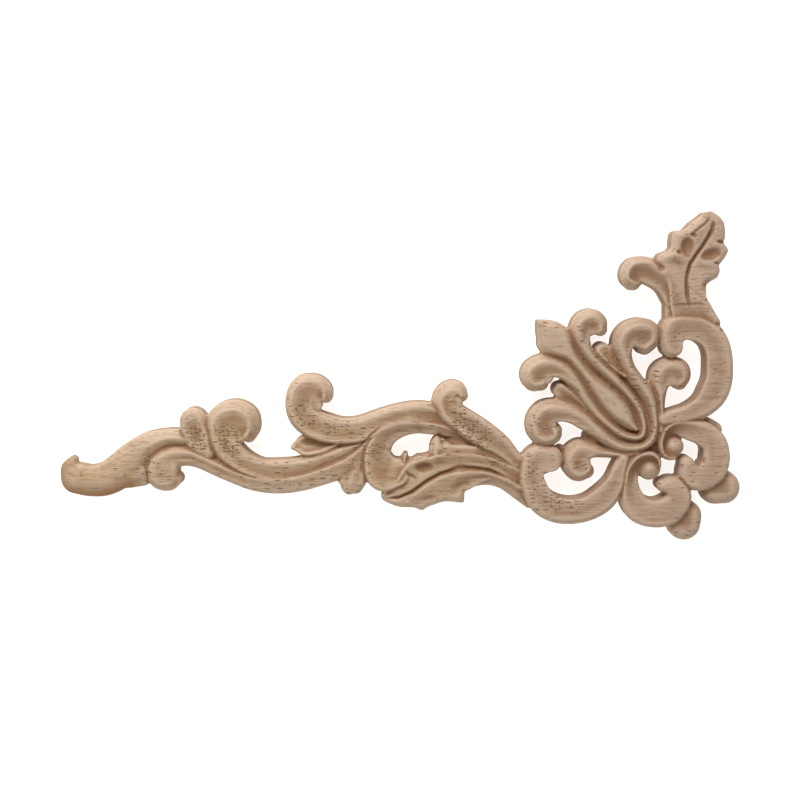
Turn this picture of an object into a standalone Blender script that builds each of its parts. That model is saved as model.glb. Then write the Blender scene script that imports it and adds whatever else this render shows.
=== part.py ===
"""Carved wood applique: a lily spray of scrolls with a leaf above it and a long scrolled arm to the left."""
import math

import bmesh
import bpy
import numpy as np
from mathutils import Matrix, Vector

# The plan is drawn in millimetres from the root of the lily and turned to metres by MM.
MM = 0.001
BACK_ALLOWANCE = 2.0
VOXEL = 0.7
STATION_STEP = 0.9
ACROSS_STEPS = 14
TRIANGLE_TARGET = 9000
SAMPLES_PER_SPAN = 16
SMALLEST_HALF_WIDTH = 0.3
CAP_ANGLE_LEFT_OUT = 0.06

# Section of the bands: a narrow band is a plain dome, a wide one is fluted.
NARROW_HALF_WIDTH = 1.6
WIDE_HALF_WIDTH = 3.0
VOLUTE_RUN = (9.0, 16.0)
VOLUTE_LEVELLING = 0.8
EDGE_SLOPE_SHARE = 0.55
BEVEL_ROOM = 1.9
CAP_TURN = (80, 170)

# Details pressed into the top face.
TOP_FACE_ABOVE = 3.0
CREASE_TAPER = 4.0
CREASE_END_SHARE = 0.2
RIM_WIDTH = 2.0
RIM_DROP = 1.4

PETAL_CREST = 9.2
SCROLL_CREST = 8.8
LEAF_CREST = 8.6
ARM_CREST = 8.4
BUD_CREST = 7.2
DISC_BEVEL = 0.8
DISC_DROP = 0.5
DISC_SHIFT = 0.1

MERGE_DISTANCE = 0.0001
WOOD_COLOUR = (0.58, 0.41, 0.27, 1.0)
WOOD_ROUGHNESS = 0.6

LEFT, RIGHT, BOTH = 1, -1, 0


def strand(path, side, crest, bevel=2.2, drop=3.2, fall=0.9, dish=0.3, inner=0.4, inner_drop=0.5,
           volute=False, domed=True, squared=False):
    """Describe one carved band by plan points with half widths and by its section.

    The side is the high edge. A section value that is a tuple changes evenly along the band.
    """
    return {"path": path, "side": side, "crest": crest, "bevel": bevel, "drop": drop, "fall": fall,
            "dish": dish, "inner": inner, "inner_drop": inner_drop, "volute": volute, "domed": domed,
            "squared": squared}


LILY = [
    strand([(-30.9, 33.0, 0.3), (-29.3, 31.4, 2.5), (-27.6, 29.7, 4.2), (-26.0, 27.6, 5.2),
            (-24.1, 25.8, 4.6), (-21.9, 23.6, 3.1), (-19.9, 21.3, 2.4), (-16.4, 17.0, 2.3),
            (-13.0, 13.2, 3.0), (-9.5, 9.6, 3.7), (-6.3, 6.1, 3.5), (-3.4, 2.9, 2.2),
            (-1.4, 1.0, 0.6)], BOTH, PETAL_CREST, bevel=2.2, squared=True),
    strand([(-12.5, 30.6, 2.1), (-13.2, 32.4, 2.8), (-15.2, 33.6, 3.0), (-17.6, 32.4, 3.1),
            (-18.6, 29.5, 2.9), (-17.8, 26.2, 2.4), (-15.9, 23.0, 2.1), (-12.8, 19.8, 1.9),
            (-9.0, 16.4, 1.8), (-4.9, 12.3, 1.5), (-1.5, 8.0, 1.4), (0.2, 3.5, 1.4),
            (0.2, 0.2, 1.4), (-1.2, -1.1, 1.2), (-3.6, -1.0, 1.2), (-6.5, 0.1, 1.4),
            (-10.0, 2.7, 1.6), (-13.3, 6.0, 1.9), (-16.5, 10.3, 2.1), (-19.0, 14.3, 2.2),
            (-22.0, 17.7, 2.6), (-25.5, 19.6, 3.0), (-29.3, 19.9, 3.3), (-32.1, 17.9, 3.5),
            (-31.9, 15.4, 3.2), (-29.8, 14.7, 2.3)], RIGHT, PETAL_CREST, volute="both"),
    strand([(0.5, 25.5, 2.5), (2.1, 27.5, 2.8), (1.6, 30.0, 3.2), (-1.2, 30.8, 3.1),
            (-4.2, 29.4, 3.4), (-5.9, 26.5, 3.2), (-5.7, 23.0, 2.4), (-4.4, 19.5, 2.1),
            (-2.2, 16.0, 2.2), (0.4, 12.8, 2.2), (2.3, 9.3, 2.0), (3.3, 5.5, 1.8),
            (3.6, 2.0, 1.8), (2.8, -1.5, 1.7), (0.5, -3.6, 1.6), (-3.0, -4.3, 1.9),
            (-6.5, -3.6, 2.0), (-10.0, -1.6, 2.1), (-13.5, 1.2, 2.4), (-17.0, 3.8, 2.8),
            (-20.5, 5.8, 2.9), (-24.2, 6.7, 3.2), (-28.0, 6.1, 3.6), (-30.3, 3.8, 3.5),
            (-30.3, 0.8, 3.5), (-28.4, -0.8, 3.4), (-26.1, -0.3, 2.9), (-25.6, 0.7, 2.3)],
           RIGHT, PETAL_CREST, volute="both"),
    strand([(-11.9, 24.4, 2.4), (-9.8, 22.0, 2.3), (-7.4, 19.0, 1.6), (-5.0, 16.6, 0.8)],
           RIGHT, BUD_CREST + 0.6, bevel=1.0, fall=1.6, domed=False),
    strand([(-24.1, 12.8, 2.3), (-21.4, 10.8, 2.3), (-18.7, 8.9, 1.6), (-16.3, 6.8, 0.8)],
           LEFT, BUD_CREST + 0.6, bevel=1.0, fall=1.6, domed=False),
    strand([(11.2, 14.8, 2.2), (11.7, 16.7, 2.8), (10.8, 18.7, 3.2), (8.2, 19.3, 3.1),
            (5.9, 17.6, 3.4), (4.9, 14.4, 2.9), (5.2, 11.0, 2.0), (5.6, 7.5, 1.4),
            (5.8, 4.0, 1.4), (5.4, 0.6, 1.4)], RIGHT, SCROLL_CREST - 0.6, volute="start"),
    strand([(-16.0, -11.4, 2.4), (-18.3, -11.6, 3.1), (-20.0, -9.8, 3.3), (-19.9, -7.2, 3.5),
            (-17.8, -5.2, 3.3), (-14.5, -5.0, 2.5), (-11.0, -5.7, 1.8), (-7.5, -6.2, 1.5),
            (-4.0, -6.3, 1.4), (-1.0, -5.6, 1.3)], LEFT, SCROLL_CREST - 0.6, volute="start"),
]

SCROLLS = [
    strand([(8.3, 25.3, 3.0), (8.1, 28.2, 3.5), (9.3, 31.0, 3.9), (12.5, 31.4, 3.9),
            (16.6, 30.7, 4.0), (20.1, 28.1, 3.9), (21.9, 24.3, 3.9), (22.4, 20.0, 4.0),
            (22.2, 15.5, 4.1), (20.7, 11.4, 4.1), (18.0, 8.1, 3.4), (14.0, 5.9, 2.8),
            (10.0, 4.8, 2.5), (6.2, 4.0, 2.2)], LEFT, SCROLL_CREST, bevel=1.4, drop=2.4, fall=0.15,
           dish=0.1, inner=0.45, inner_drop=0.35, volute="start"),
    strand([(-27.0, -7.8, 3.3), (-30.5, -8.0, 4.4), (-32.6, -11.6, 3.7), (-31.6, -16.0, 4.1),
            (-29.0, -20.4, 4.0), (-25.0, -22.7, 4.0), (-20.3, -23.3, 3.8), (-15.5, -22.4, 3.7),
            (-11.2, -19.7, 3.8), (-7.8, -15.5, 3.2), (-6.3, -11.0, 2.5), (-5.2, -7.5, 2.0)],
           RIGHT, SCROLL_CREST, bevel=1.4, drop=2.4, fall=0.15, dish=0.1, inner=0.45, inner_drop=0.35,
           volute="start"),
    strand([(9.8, -7.1, 1.0), (7.8, -6.8, 1.3), (6.4, -4.9, 1.3), (6.2, -2.2, 1.5),
            (7.5, 0.8, 1.9), (10.3, 1.9, 2.5), (14.0, 1.2, 3.3), (17.7, 0.0, 3.6),
            (21.2, -2.7, 3.7), (22.1, -7.0, 4.0), (20.9, -11.4, 4.0), (17.2, -13.0, 4.2),
            (14.5, -11.8, 3.7), (13.5, -9.0, 2.1)], LEFT, SCROLL_CREST, bevel=(0.9, 1.2, 1.9, 1.9, 1.9),
           drop=2.8, fall=(2.6, 2.2, 0.9, 0.9, 1.6), dish=0.3, inner=0.5, domed=False),
    strand([(5.3, -9.8, 0.8), (4.6, -7.9, 1.3), (2.3, -6.9, 1.9), (-0.6, -7.9, 2.2),
            (-2.8, -10.8, 2.4), (-3.3, -14.5, 2.6), (-2.8, -18.6, 3.4), (-0.6, -22.4, 4.1),
            (3.8, -24.0, 4.1), (8.4, -23.0, 4.3), (11.1, -19.8, 3.9), (10.6, -16.7, 3.4),
            (8.4, -15.7, 2.8), (6.6, -15.6, 1.9)], RIGHT, SCROLL_CREST, bevel=(0.9, 1.2, 1.9, 1.9, 1.9),
           drop=2.8, fall=(2.6, 2.2, 0.9, 0.9, 1.6), dish=0.3, inner=0.5, domed=False),
]

ARM = [
    strand([(-52.9, 11.1, 1.9), (-54.0, 12.5, 2.6), (-56.3, 12.0, 3.5), (-58.1, 9.5, 3.7),
            (-57.0, 6.5, 3.8), (-53.6, 3.9, 3.9), (-49.0, 1.0, 4.0), (-44.9, -1.7, 3.8),
            (-40.9, -4.4, 3.2), (-36.8, -8.6, 2.4)], RIGHT, (8.4, 8.4, 8.5, 8.4, 7.8),
           bevel=(1.9, 1.5, 1.2, 1.2, 1.2), drop=(3.2, 3.2, 2.6, 2.0, 1.4),
           inner=(0.4, 0.5, 0.7, 0.8, 0.8), inner_drop=(0.5, 0.6, 0.9, 1.0, 0.9),
           fall=(0.8, 0.5, 0.1, 0.1, 0.1), dish=(0.25, 0.4, 0.5, 0.4, 0.2), volute="start", domed=False),
    strand([(-92.8, 10.7, 1.9), (-93.5, 12.7, 2.6), (-96.0, 13.6, 3.7), (-99.3, 12.5, 4.5),
            (-100.7, 9.0, 4.3), (-99.8, 5.3, 4.4), (-96.9, 2.7, 4.4), (-93.0, 1.3, 4.3),
            (-88.0, 0.5, 3.9), (-83.0, 1.0, 3.8), (-78.0, 3.1, 3.4), (-73.0, 5.0, 3.1),
            (-67.0, 6.0, 3.2), (-61.5, 5.4, 3.2), (-57.0, 3.0, 2.8)], RIGHT, (8.4, 8.4, 8.4, 8.4, 8.2, 6.6),
           bevel=(2.0, 1.5, 0.7, 0.6, 0.6, 0.8), inner=(0.4, 0.5, 1.3, 1.6, 1.6, 1.6),
           inner_drop=(0.5, 0.8, 1.4, 1.5, 1.5, 1.5), fall=(0.8, 0.7, 0.3, -0.2, -0.6, -0.6),
           dish=(0.25, 0.45, 0.6, 0.6, 0.6, 0.5), volute="start", domed=False),
    strand([(-115.7, -1.0, 2.0), (-115.0, 1.4, 2.6), (-116.5, 4.2, 3.9), (-119.9, 5.4, 4.4),
            (-123.2, 3.3, 5.0), (-123.8, -1.0, 4.4), (-121.6, -5.3, 4.2), (-117.6, -8.8, 3.6),
            (-112.5, -11.0, 3.2), (-106.5, -11.4, 3.5), (-100.5, -10.8, 3.4), (-95.0, -9.4, 3.3),
            (-89.8, -7.7, 3.4), (-85.3, -5.5, 2.8), (-81.8, -3.2, 1.8)], RIGHT,
           (8.4, 8.4, 8.2, 7.6, 7.0, 6.8), bevel=(2.0, 1.5, 0.9, 0.6, 0.6), inner=(0.4, 0.5, 1.2, 1.5, 1.5),
           inner_drop=(0.5, 0.8, 1.4, 1.5, 1.5), fall=(0.8, 0.7, 0.3, -0.5, -0.8, -0.8),
           dish=(0.25, 0.45, 0.6, 0.6, 0.5), volute="start", domed=False),
    strand([(-137.5, -14.0, 1.9), (-139.5, -14.6, 3.0), (-142.1, -13.2, 3.9),
            (-142.2, -9.8, 4.0), (-139.0, -7.6, 3.6), (-134.5, -6.9, 3.0), (-130.0, -8.1, 2.6),
            (-125.5, -10.4, 2.4), (-120.5, -12.8, 2.2), (-114.5, -14.9, 2.4),
            (-108.0, -15.7, 2.5), (-101.5, -15.1, 2.6), (-95.0, -13.3, 2.7), (-89.0, -11.1, 2.8),
            (-84.6, -8.6, 2.7), (-81.4, -5.4, 2.3), (-79.8, -2.0, 1.5)], LEFT, ARM_CREST - 0.6,
           bevel=(1.6, 1.4, 1.0, 0.7, 0.6, 0.6),
           inner=(0.4, 0.5, 0.8, 1.0, 1.0), inner_drop=(0.5, 0.6, 1.0, 1.4, 1.4),
           fall=(0.7, 0.9, 1.3, 1.4, 1.4), dish=(0.25, 0.3, 0.3, 0.1, 0.1), volute="start", domed=False),
    strand([(-53.0, -1.3, 1.6), (-58.0, 0.7, 2.0), (-62.5, 1.6, 2.1), (-67.0, 1.8, 2.1),
            (-71.5, 1.0, 2.6), (-75.3, -1.2, 3.2), (-77.6, -5.0, 4.0), (-77.6, -9.5, 4.5),
            (-76.1, -12.9, 4.8), (-72.3, -12.0, 4.4)], RIGHT, (6.6, 7.8, 8.2, 8.2, 8.2, 8.2),
           bevel=0.9, fall=1.5, dish=0.2, inner=0.6, inner_drop=0.6, domed=False),
    strand([(-167.2, -13.9, 4.5), (-163.0, -14.6, 4.6),
            (-158.5, -14.0, 5.0), (-154.0, -11.3, 5.3), (-150.0, -7.9, 5.2), (-145.5, -4.1, 4.1),
            (-140.5, -1.8, 2.8), (-135.5, -1.7, 2.6), (-131.0, -2.8, 2.1)],
           BOTH, ARM_CREST - 1.0, bevel=3.2, drop=1.9),
    strand([(-151.6, -12.4, 4.5), (-148.5, -11.4, 5.0)], BOTH, ARM_CREST - 1.9),
    strand([(-168.6, -8.6, 1.3), (-168.9, -9.9, 2.6), (-168.4, -11.6, 3.6), (-167.3, -13.7, 4.4)], BOTH,
           ARM_CREST - 1.0, bevel=2.8, drop=1.9),
]

BUDS = [
    strand([(-132.1, 3.4, 4.0), (-131.6, 0.5, 4.3), (-130.4, -2.8, 3.3), (-128.6, -5.8, 1.6)],
           BOTH, BUD_CREST + 0.3, bevel=1.5, drop=1.8),
    strand([(-102.6, -4.4, 0.9), (-100.8, -4.1, 2.5), (-98.2, -4.0, 3.4), (-94.0, -3.6, 3.0),
            (-89.5, -1.8, 2.2), (-85.0, -1.0, 1.6)], RIGHT, BUD_CREST - 0.2, bevel=1.0, drop=2.0, fall=1.2,
           dish=0.6, domed=False),
    strand([(-86.7, -18.5, 0.7), (-86.4, -17.5, 2.4), (-85.8, -16.2, 3.6), (-85.3, -13.8, 4.4),
            (-84.3, -9.5, 3.9), (-82.6, -5.5, 2.4)], BOTH, (6.0, 6.7, 6.9, 6.7, 6.4), bevel=1.5, drop=1.6,
           squared=True),
    strand([(21.8, -17.6, 4.4), (24.6, -16.6, 5.5)], BOTH, BUD_CREST),
    strand([(13.2, -27.7, 5.3), (14.5, -24.8, 4.5)], BOTH, BUD_CREST),
    strand([(-69.5, -6.8, 0.8), (-69.8, -8.6, 1.5)], BOTH, BUD_CREST - 0.9),
    strand([(9.6, -3.9, 2.8), (9.7, -3.9, 2.8)], BOTH, BUD_CREST + 0.4, bevel=3.0, drop=2.4),
    strand([(2.4, -10.9, 3.1), (2.5, -10.9, 3.1)], BOTH, BUD_CREST + 0.4, bevel=3.0, drop=2.4),
    strand([(3.6, -4.6, 2.4), (1.8, -2.6, 2.4)], BOTH, BUD_CREST - 1.6, drop=1.0),
    strand([(20.2, 2.2, 2.0), (22.3, 0.7, 2.2)], BOTH, BUD_CREST - 1.0),
]

LEAVES = [
    strand([(-3.0, 43.9, 2.1), (-4.2, 45.8, 2.7), (-2.9, 48.0, 3.4), (0.2, 47.9, 3.9),
            (3.6, 46.3, 3.8), (6.5, 43.4, 3.1), (8.5, 39.5, 2.7), (10.5, 35.6, 2.4)],
           LEFT, LEAF_CREST - 0.2, bevel=1.9, fall=1.0, domed=False),
    strand([(15.6, 48.0, 2.5), (15.6, 44.0, 2.9), (15.7, 39.5, 2.8), (17.4, 35.4, 3.3),
            (20.2, 32.2, 2.6)], LEFT, LEAF_CREST - 0.6, fall=0.6, bevel=0.8, domed=False),
    strand([(9.6, 33.5, 3.2), (9.8, 37.5, 3.4)], BOTH, LEAF_CREST - 1.4, bevel=0.8, drop=1.0),
]

# Closed outlines of the leaf blades, their height and the stretches of their free edge
BLADES = [
    ([(19.3, 64.7), (21.3, 63.4), (22.7, 61.7), (23.2, 59.4), (23.2, 57.1), (22.8, 55.8),
      (23.6, 54.7), (24.2, 53.4), (23.3, 51.4), (22.1, 49.8), (21.6, 49.1), (21.9, 47.8),
      (21.4, 45.9), (20.4, 45.1), (19.0, 44.3), (18.0, 43.3), (17.7, 41.1), (18.1, 38.7),
      (17.2, 35.0), (12.5, 33.6), (8.4, 35.0), (7.3, 38.2), (6.6, 44.9), (4.6, 48.5), (3.4, 50.6),
      (4.4, 52.5), (6.1, 53.2), (7.5, 54.0), (7.7, 56.4), (8.0, 58.4), (9.0, 59.2),
      (11.2, 59.4), (12.1, 60.2), (13.4, 61.6), (15.1, 62.8), (16.3, 63.8), (17.5, 64.6)], 8.3,
     ((0, 15), (24, 36))),
    ([(-76.8, -18.6), (-76.0, -20.2), (-73.4, -21.5), (-70.5, -22.3), (-67.0, -22.4), (-65.2, -23.1),
      (-64.2, -23.1), (-62.9, -22.2), (-60.7, -21.4), (-57.9, -20.5), (-54.3, -20.8),
      (-52.3, -20.8), (-52.0, -19.0), (-51.8, -17.6), (-50.0, -16.4), (-46.0, -14.0),
      (-40.0, -12.0), (-40.0, -8.0), (-46.0, -5.0), (-52.0, -3.5), (-57.2, -3.6), (-58.6, -2.6),
      (-59.8, -1.0), (-61.3, -1.7), (-62.4, -4.0),
      (-62.6, -6.0), (-64.3, -6.8), (-66.5, -7.0), (-69.6, -11.0), (-71.1, -13.8), (-74.8, -16.8)], 7.3,
     ((1, 13), (21, 25))),
]

ARM_LEAF = [
    strand([(-71.2, -15.8, 2.6), (-66.8, -12.3, 4.4), (-61.2, -9.4, 3.5), (-55.5, -8.2, 3.1),
            (-49.0, -8.2, 2.8), (-43.0, -9.8, 2.7), (-37.5, -12.2, 2.8)], LEFT, ARM_CREST - 0.3,
           bevel=1.0, fall=0.7, dish=0.5, inner=0.4, domed=False),
    strand([(-66.5, -19.7, 2.2), (-61.5, -17.7, 3.6),
            (-56.5, -15.8, 4.2), (-51.5, -13.7, 3.0), (-46.0, -13.3, 2.3), (-41.0, -14.6, 2.1),
            (-36.4, -17.5, 2.3), (-32.6, -20.6, 2.1)], LEFT, ARM_CREST - 0.3, bevel=0.6,
           fall=(0.8, 0.8, 0.9, 1.3, 1.4, 1.4), dish=0.2, inner=(0.5, 0.5, 1.0, 1.5, 1.6),
           inner_drop=(0.1, 0.1, 0.4, 1.4, 1.6), domed=False),
]

# Plan points, half width and depth of the cut lines; a negative depth is a raised line
CREASES = [
    ([(19.4, 61.2), (19.1, 59.3), (17.9, 57.0), (16.5, 54.7), (14.5, 51.8), (13.0, 49.5), (12.4, 47.2),
      (12.1, 44.9), (12.2, 42.8), (12.4, 40.2), (13.1, 37.6)], 0.75, 1.5),
    ([(18.5, 63.2), (17.2, 61.2), (15.2, 59.6), (13.4, 58.0)], 0.5, 0.5),
    ([(8.1, 37.9), (12.2, 37.9), (16.3, 38.1)], 0.5, 0.35),
    ([(4.9, 51.4), (8.4, 52.2), (10.2, 51.7), (12.5, 50.3)], 1.6, -0.4),
    ([(7.9, 57.9), (10.6, 58.0), (12.6, 57.9), (14.3, 56.7), (15.9, 57.0)], 1.5, -0.35),
    ([(14.5, 50.4), (18.3, 50.1), (21.3, 49.2)], 1.5, -0.35),
    ([(18.3, 56.1), (20.2, 55.3), (22.6, 55.1)], 1.3, -0.35),
    ([(-100.7, -6.4), (-98.3, -6.3), (-94.1, -5.1), (-89.3, -3.2)], 0.8, -0.5),
    ([(-75.2, -19.4), (-71.5, -19.2), (-67.7, -17.5), (-63.0, -14.1), (-59.2, -12.0), (-54.0, -10.4),
      (-49.3, -10.3), (-44.6, -11.0), (-39.8, -13.2)], 0.75, 1.4),
    ([(-69.2, -11.4), (-68.4, -12.3), (-66.5, -13.2)], 0.7, 1.2),
    ([(-73.4, -17.5), (-75.3, -18.5)], 0.9, 1.4),
    ([(-59.6, -0.9), (-56.4, -2.0), (-51.6, -2.8)], 1.1, 1.6),
    ([(-77.2, 1.7), (-80.0, -0.8), (-82.3, -3.2)], 0.6, 0.8),
    ([(-60.2, -5.4), (-56.5, -5.7), (-52.0, -5.8), (-46.6, -7.0), (-41.1, -9.8)], 1.1, 0.6),
    ([(-60.4, -2.2), (-60.2, -4.4), (-60.6, -7.6)], 1.3, -0.5),
    ([(-86.4, -18.0), (-85.2, -13.5), (-82.4, -7.0)], 1.6, -0.3),
]
# Place, two radii, turn in degrees and depth of the gouged hollows
HOLLOWS = [(11.4, 55.0, 3.0, 2.2, 80, 1.5), (18.9, 52.8, 3.4, 2.0, 15, 1.4), (-64.1, -10.1, 2.9, 1.7, 0, 1.3),
           (13.5, 58.0, 1.3, 0.8, -20, 1.2), (9.7, 52.9, 1.0, 0.7, -30, 1.2),
           (21.6, 55.9, 1.6, 0.7, -10, 1.0), (20.6, 49.8, 1.4, 0.5, -10, 0.8),
           (-131.2, 0.4, 4.2, 3.2, -72, 0.45), (-98.0, -2.6, 3.0, 1.4, 0, 0.6),
           (-53.0, -15.6, 4.2, 2.4, 20, 0.8), (-62.0, -19.2, 3.2, 1.6, 10, 0.4)]
# Place, radius and height of the discs that fill the volutes
HEARTS = [(-15.9, 30.6, 2.0, 8.2), (-28.6, 16.6, 2.2, 8.2), (-1.3, 27.6, 2.4, 8.2), (-27.4, 2.6, 2.2, 8.2),
          (8.7, 16.6, 1.8, 7.2), (-17.6, -8.6, 1.8, 7.2), (-97.6, 10.0, 3.4, 7.5), (-95.9, 8.2, 1.8, 7.4),
          (-118.9, 0.4, 3.2, 7.5), (-139.6, -11.4, 2.6, 7.0), (-55.8, 9.0, 2.6, 7.5), (-75.0, -8.6, 2.4, 6.6),
          (-2.0, 45.0, 1.9, 7.0), (9.4, 27.6, 2.2, 8.0), (-28.6, -10.0, 2.0, 8.0), (-58.0, -3.2, 2.6, 4.6),
          (-54.5, -4.2, 2.4, 4.6), (-82.0, -1.6, 3.2, 5.8), (-126.6, -5.4, 1.8, 5.4), (-53.6, -2.4, 3.0, 5.6),
          (-57.4, -2.4, 1.6, 5.2), (2.9, -5.4, 1.8, 5.6), (-14.2, -1.6, 1.7, 6.2), (-16.8, -0.9, 1.1, 4.8),
          (-24.2, -4.6, 1.1, 5.0)]
# Low ground under the lily and the leaf
BEDS = [
    strand([(-20.0, 20.0, 4.6), (-12.0, 11.5, 8.2), (-4.5, 4.0, 6.4)], BOTH, 5.4, bevel=0.5, drop=0.5),
    strand([(-5.0, 19.0, 2.4), (-1.6, 13.0, 3.4), (1.0, 6.0, 3.0), (0.0, 0.0, 3.0)], BOTH, 5.4,
           bevel=0.5, drop=0.5),
]


def smooth_path(path, step):
    """Return evenly spaced points of a smooth line through the plan points, with half widths."""
    pts = np.array(path, float)
    padded = np.vstack([2 * pts[0] - pts[1], pts, 2 * pts[-1] - pts[-2]])
    dense = []
    for k in range(1, len(padded) - 2):
        a, b, c, d = padded[k - 1], padded[k], padded[k + 1], padded[k + 2]
        for u in np.linspace(0, 1, SAMPLES_PER_SPAN, endpoint=False):
            dense.append(0.5 * (2 * b + (c - a) * u + (2 * a - 5 * b + 4 * c - d) * u ** 2
                                + (3 * b - a - 3 * c + d) * u ** 3))
    dense.append(pts[-1])
    dense = np.array(dense)
    run = np.concatenate([[0], np.cumsum(np.hypot(*np.diff(dense[:, :2], axis=0).T))])
    count = max(3, int(math.ceil(run[-1] / step)) + 1)
    even = np.linspace(0, run[-1], count)
    return np.array([[np.interp(s, run, dense[:, i]) for i in range(3)] for s in even])


def value_along(value, share):
    """Return a section value at a share of the band's length."""
    if isinstance(value, (int, float)):
        return value
    return float(np.interp(share, np.linspace(0, 1, len(value)), value))


def ease(low, high, x):
    """Return a soft step from 0 at low to 1 at high."""
    t = min(1.0, max(0.0, (x - low) / (high - low)))
    return t * t * (3 - 2 * t)


def stations(band):
    """Add the round ends: a centre, a direction, a half width, a cap share, a place along and a length."""
    line = smooth_path(band["path"], STATION_STEP)
    ahead = np.gradient(line[:, :2], axis=0)
    ahead /= np.linalg.norm(ahead, axis=1)[:, None]
    run = np.concatenate([[0], np.cumsum(np.linalg.norm(np.diff(line[:, :2], axis=0), axis=1))])
    rows = [(line[k, :2], ahead[k], max(line[k, 2], SMALLEST_HALF_WIDTH), 0.0, run[k], run[-1])
            for k in range(len(line))]
    if band["squared"]:
        return rows
    for at, sign, where in ((0, -1, "front"), (-1, 1, "back")):
        width = max(line[at, 2], SMALLEST_HALF_WIDTH)
        count = max(3, int(width / STATION_STEP) + 2)
        caps = []
        for angle in np.linspace(0, math.pi / 2, count + 1)[1:]:
            reach = math.sin(min(angle, math.pi / 2 - CAP_ANGLE_LEFT_OUT))
            centre = line[at, :2] + sign * ahead[at] * width * reach
            caps.append((centre, ahead[at], width, reach, run[at], run[-1]))
        rows = caps[::-1] + rows if where == "front" else rows + caps
    return rows


def edge_fall(reach, bevel, drop):
    """Return how far the surface lies below the face at a distance from the edge, steeper to the edge."""
    if reach >= bevel:
        return 0.0
    away = 1 - reach / bevel
    rounding = 1 - math.sqrt(max(0.0, 1 - away ** 2))
    return drop * (EDGE_SLOPE_SHARE * away + (1 - EDGE_SLOPE_SHARE) * rounding)


def surface_height(band, across, width, cap, run, length):
    """Height of the carved face at a place across the band (-1 right edge, +1 left edge)."""
    share = run / max(length, MM)
    crest = value_along(band["crest"], share)
    drop = value_along(band["drop"], share)
    bevel = value_along(band["bevel"], share)
    if band["side"] == BOTH:
        reach = math.sqrt(min(1.0, cap * cap + across * across * (1 - cap * cap)))
        return crest - edge_fall((1 - reach) * width, min(bevel, width), drop)
    inner = value_along(band["inner"], share)
    inner_drop = value_along(band["inner_drop"], share)
    fall = value_along(band["fall"], share)
    dish = value_along(band["dish"], share)
    low, high = VOLUTE_RUN
    if band["domed"]:
        narrow = (WIDE_HALF_WIDTH - width) / (WIDE_HALF_WIDTH - NARROW_HALF_WIDTH)
        narrow = min(1.0, max(0.0, narrow))
        if band["volute"] in ("start", "both"):
            narrow *= ease(low, high, run)
        if band["volute"] == "both":
            narrow *= ease(low, high, length - run)
        inner += (bevel - inner) * narrow
        inner_drop += (drop - inner_drop) * narrow
        fall *= 1 - narrow
        dish *= 1 - narrow
    if band["volute"] and (cap == 0 or run < length / 2):
        inner_drop *= 1 - VOLUTE_LEVELLING * (1 - ease(low, high, run))
    squeeze = min(1.0, BEVEL_ROOM * width / (bevel + inner))
    bevel = bevel * squeeze
    inner = inner * squeeze
    lean = across * band["side"] * math.sqrt(1 - cap * cap)
    first = 1 - bevel / width
    second = -1 + inner / width
    q = min(1.0, max(0.0, (first - lean) / max(0.01, first - second)))
    face = crest - fall * q - dish * math.sin(math.pi * q)
    reach = (1 - math.sqrt(min(1.0, cap * cap + lean * lean))) * width
    if cap == 0:
        return face - (edge_fall(reach, bevel, drop) if lean >= 0 else edge_fall(reach, inner, inner_drop))
    mix = 1 - ease(*CAP_TURN, math.degrees(math.atan2(cap, lean)))
    return face - edge_fall(reach, inner + (bevel - inner) * mix, inner_drop + (drop - inner_drop) * mix)


def add_band(mesh, band):
    """Bend a flat grid over the band's plan and height, then draw it down below the back."""
    rows = stations(band)
    before = set(mesh.verts)
    bmesh.ops.create_grid(mesh, x_segments=len(rows) - 1, y_segments=ACROSS_STEPS, size=1)
    new = [v for v in mesh.verts if v not in before]
    for v in new:
        k = int(round((v.co.x + 1) / 2 * (len(rows) - 1)))
        across = v.co.y
        centre, ahead, width, cap, run, length = rows[k]
        half = width * math.sqrt(1 - cap * cap)
        place = centre + np.array([-ahead[1], ahead[0]]) * half * across
        v.co = Vector((place[0], place[1], surface_height(band, across, width, cap, run, length)))
    made = bmesh.ops.extrude_face_region(mesh, geom=list(mesh.faces))
    for v in [g for g in made["geom"] if isinstance(g, bmesh.types.BMVert)]:
        v.co.z = -BACK_ALLOWANCE
    bmesh.ops.reverse_faces(mesh, faces=[g for g in made["geom"] if isinstance(g, bmesh.types.BMFace)])


def band_mesh(band):
    """Make one band as a closed mesh."""
    piece = bmesh.new()
    add_band(piece, band)
    bmesh.ops.recalc_face_normals(piece, faces=piece.faces)
    made = bpy.data.meshes.new("band")
    piece.to_mesh(made)
    piece.free()
    return made


def blade_mesh(outline, height):
    """Make a leaf blade: its smooth outline drawn out from below the back to its height."""
    curve = bpy.data.curves.new("blade", "CURVE")
    curve.dimensions = "2D"
    curve.fill_mode = "BOTH"
    curve.extrude = (height + BACK_ALLOWANCE) / 2
    line = smooth_path([(x, y, 0) for x, y in outline + outline[:1]], STATION_STEP)[:-1]
    spline = curve.splines.new("POLY")
    spline.points.add(len(line) - 1)
    for point, place in zip(spline.points, line):
        point.co = (place[0], place[1], 0, 1)
    spline.use_cyclic_u = True
    item = bpy.data.objects.new("blade", curve)
    bpy.context.scene.collection.objects.link(item)
    graph = bpy.context.evaluated_depsgraph_get()
    made = bpy.data.meshes.new_from_object(item.evaluated_get(graph))
    made.transform(Matrix.Translation((0, 0, (height - BACK_ALLOWANCE) / 2)))
    piece = bmesh.new()
    piece.from_mesh(made)
    bmesh.ops.remove_doubles(piece, verts=piece.verts, dist=MERGE_DISTANCE)
    bmesh.ops.recalc_face_normals(piece, faces=piece.faces)
    piece.to_mesh(made)
    piece.free()
    bpy.data.objects.remove(item)
    bpy.data.curves.remove(curve)
    return made


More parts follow.
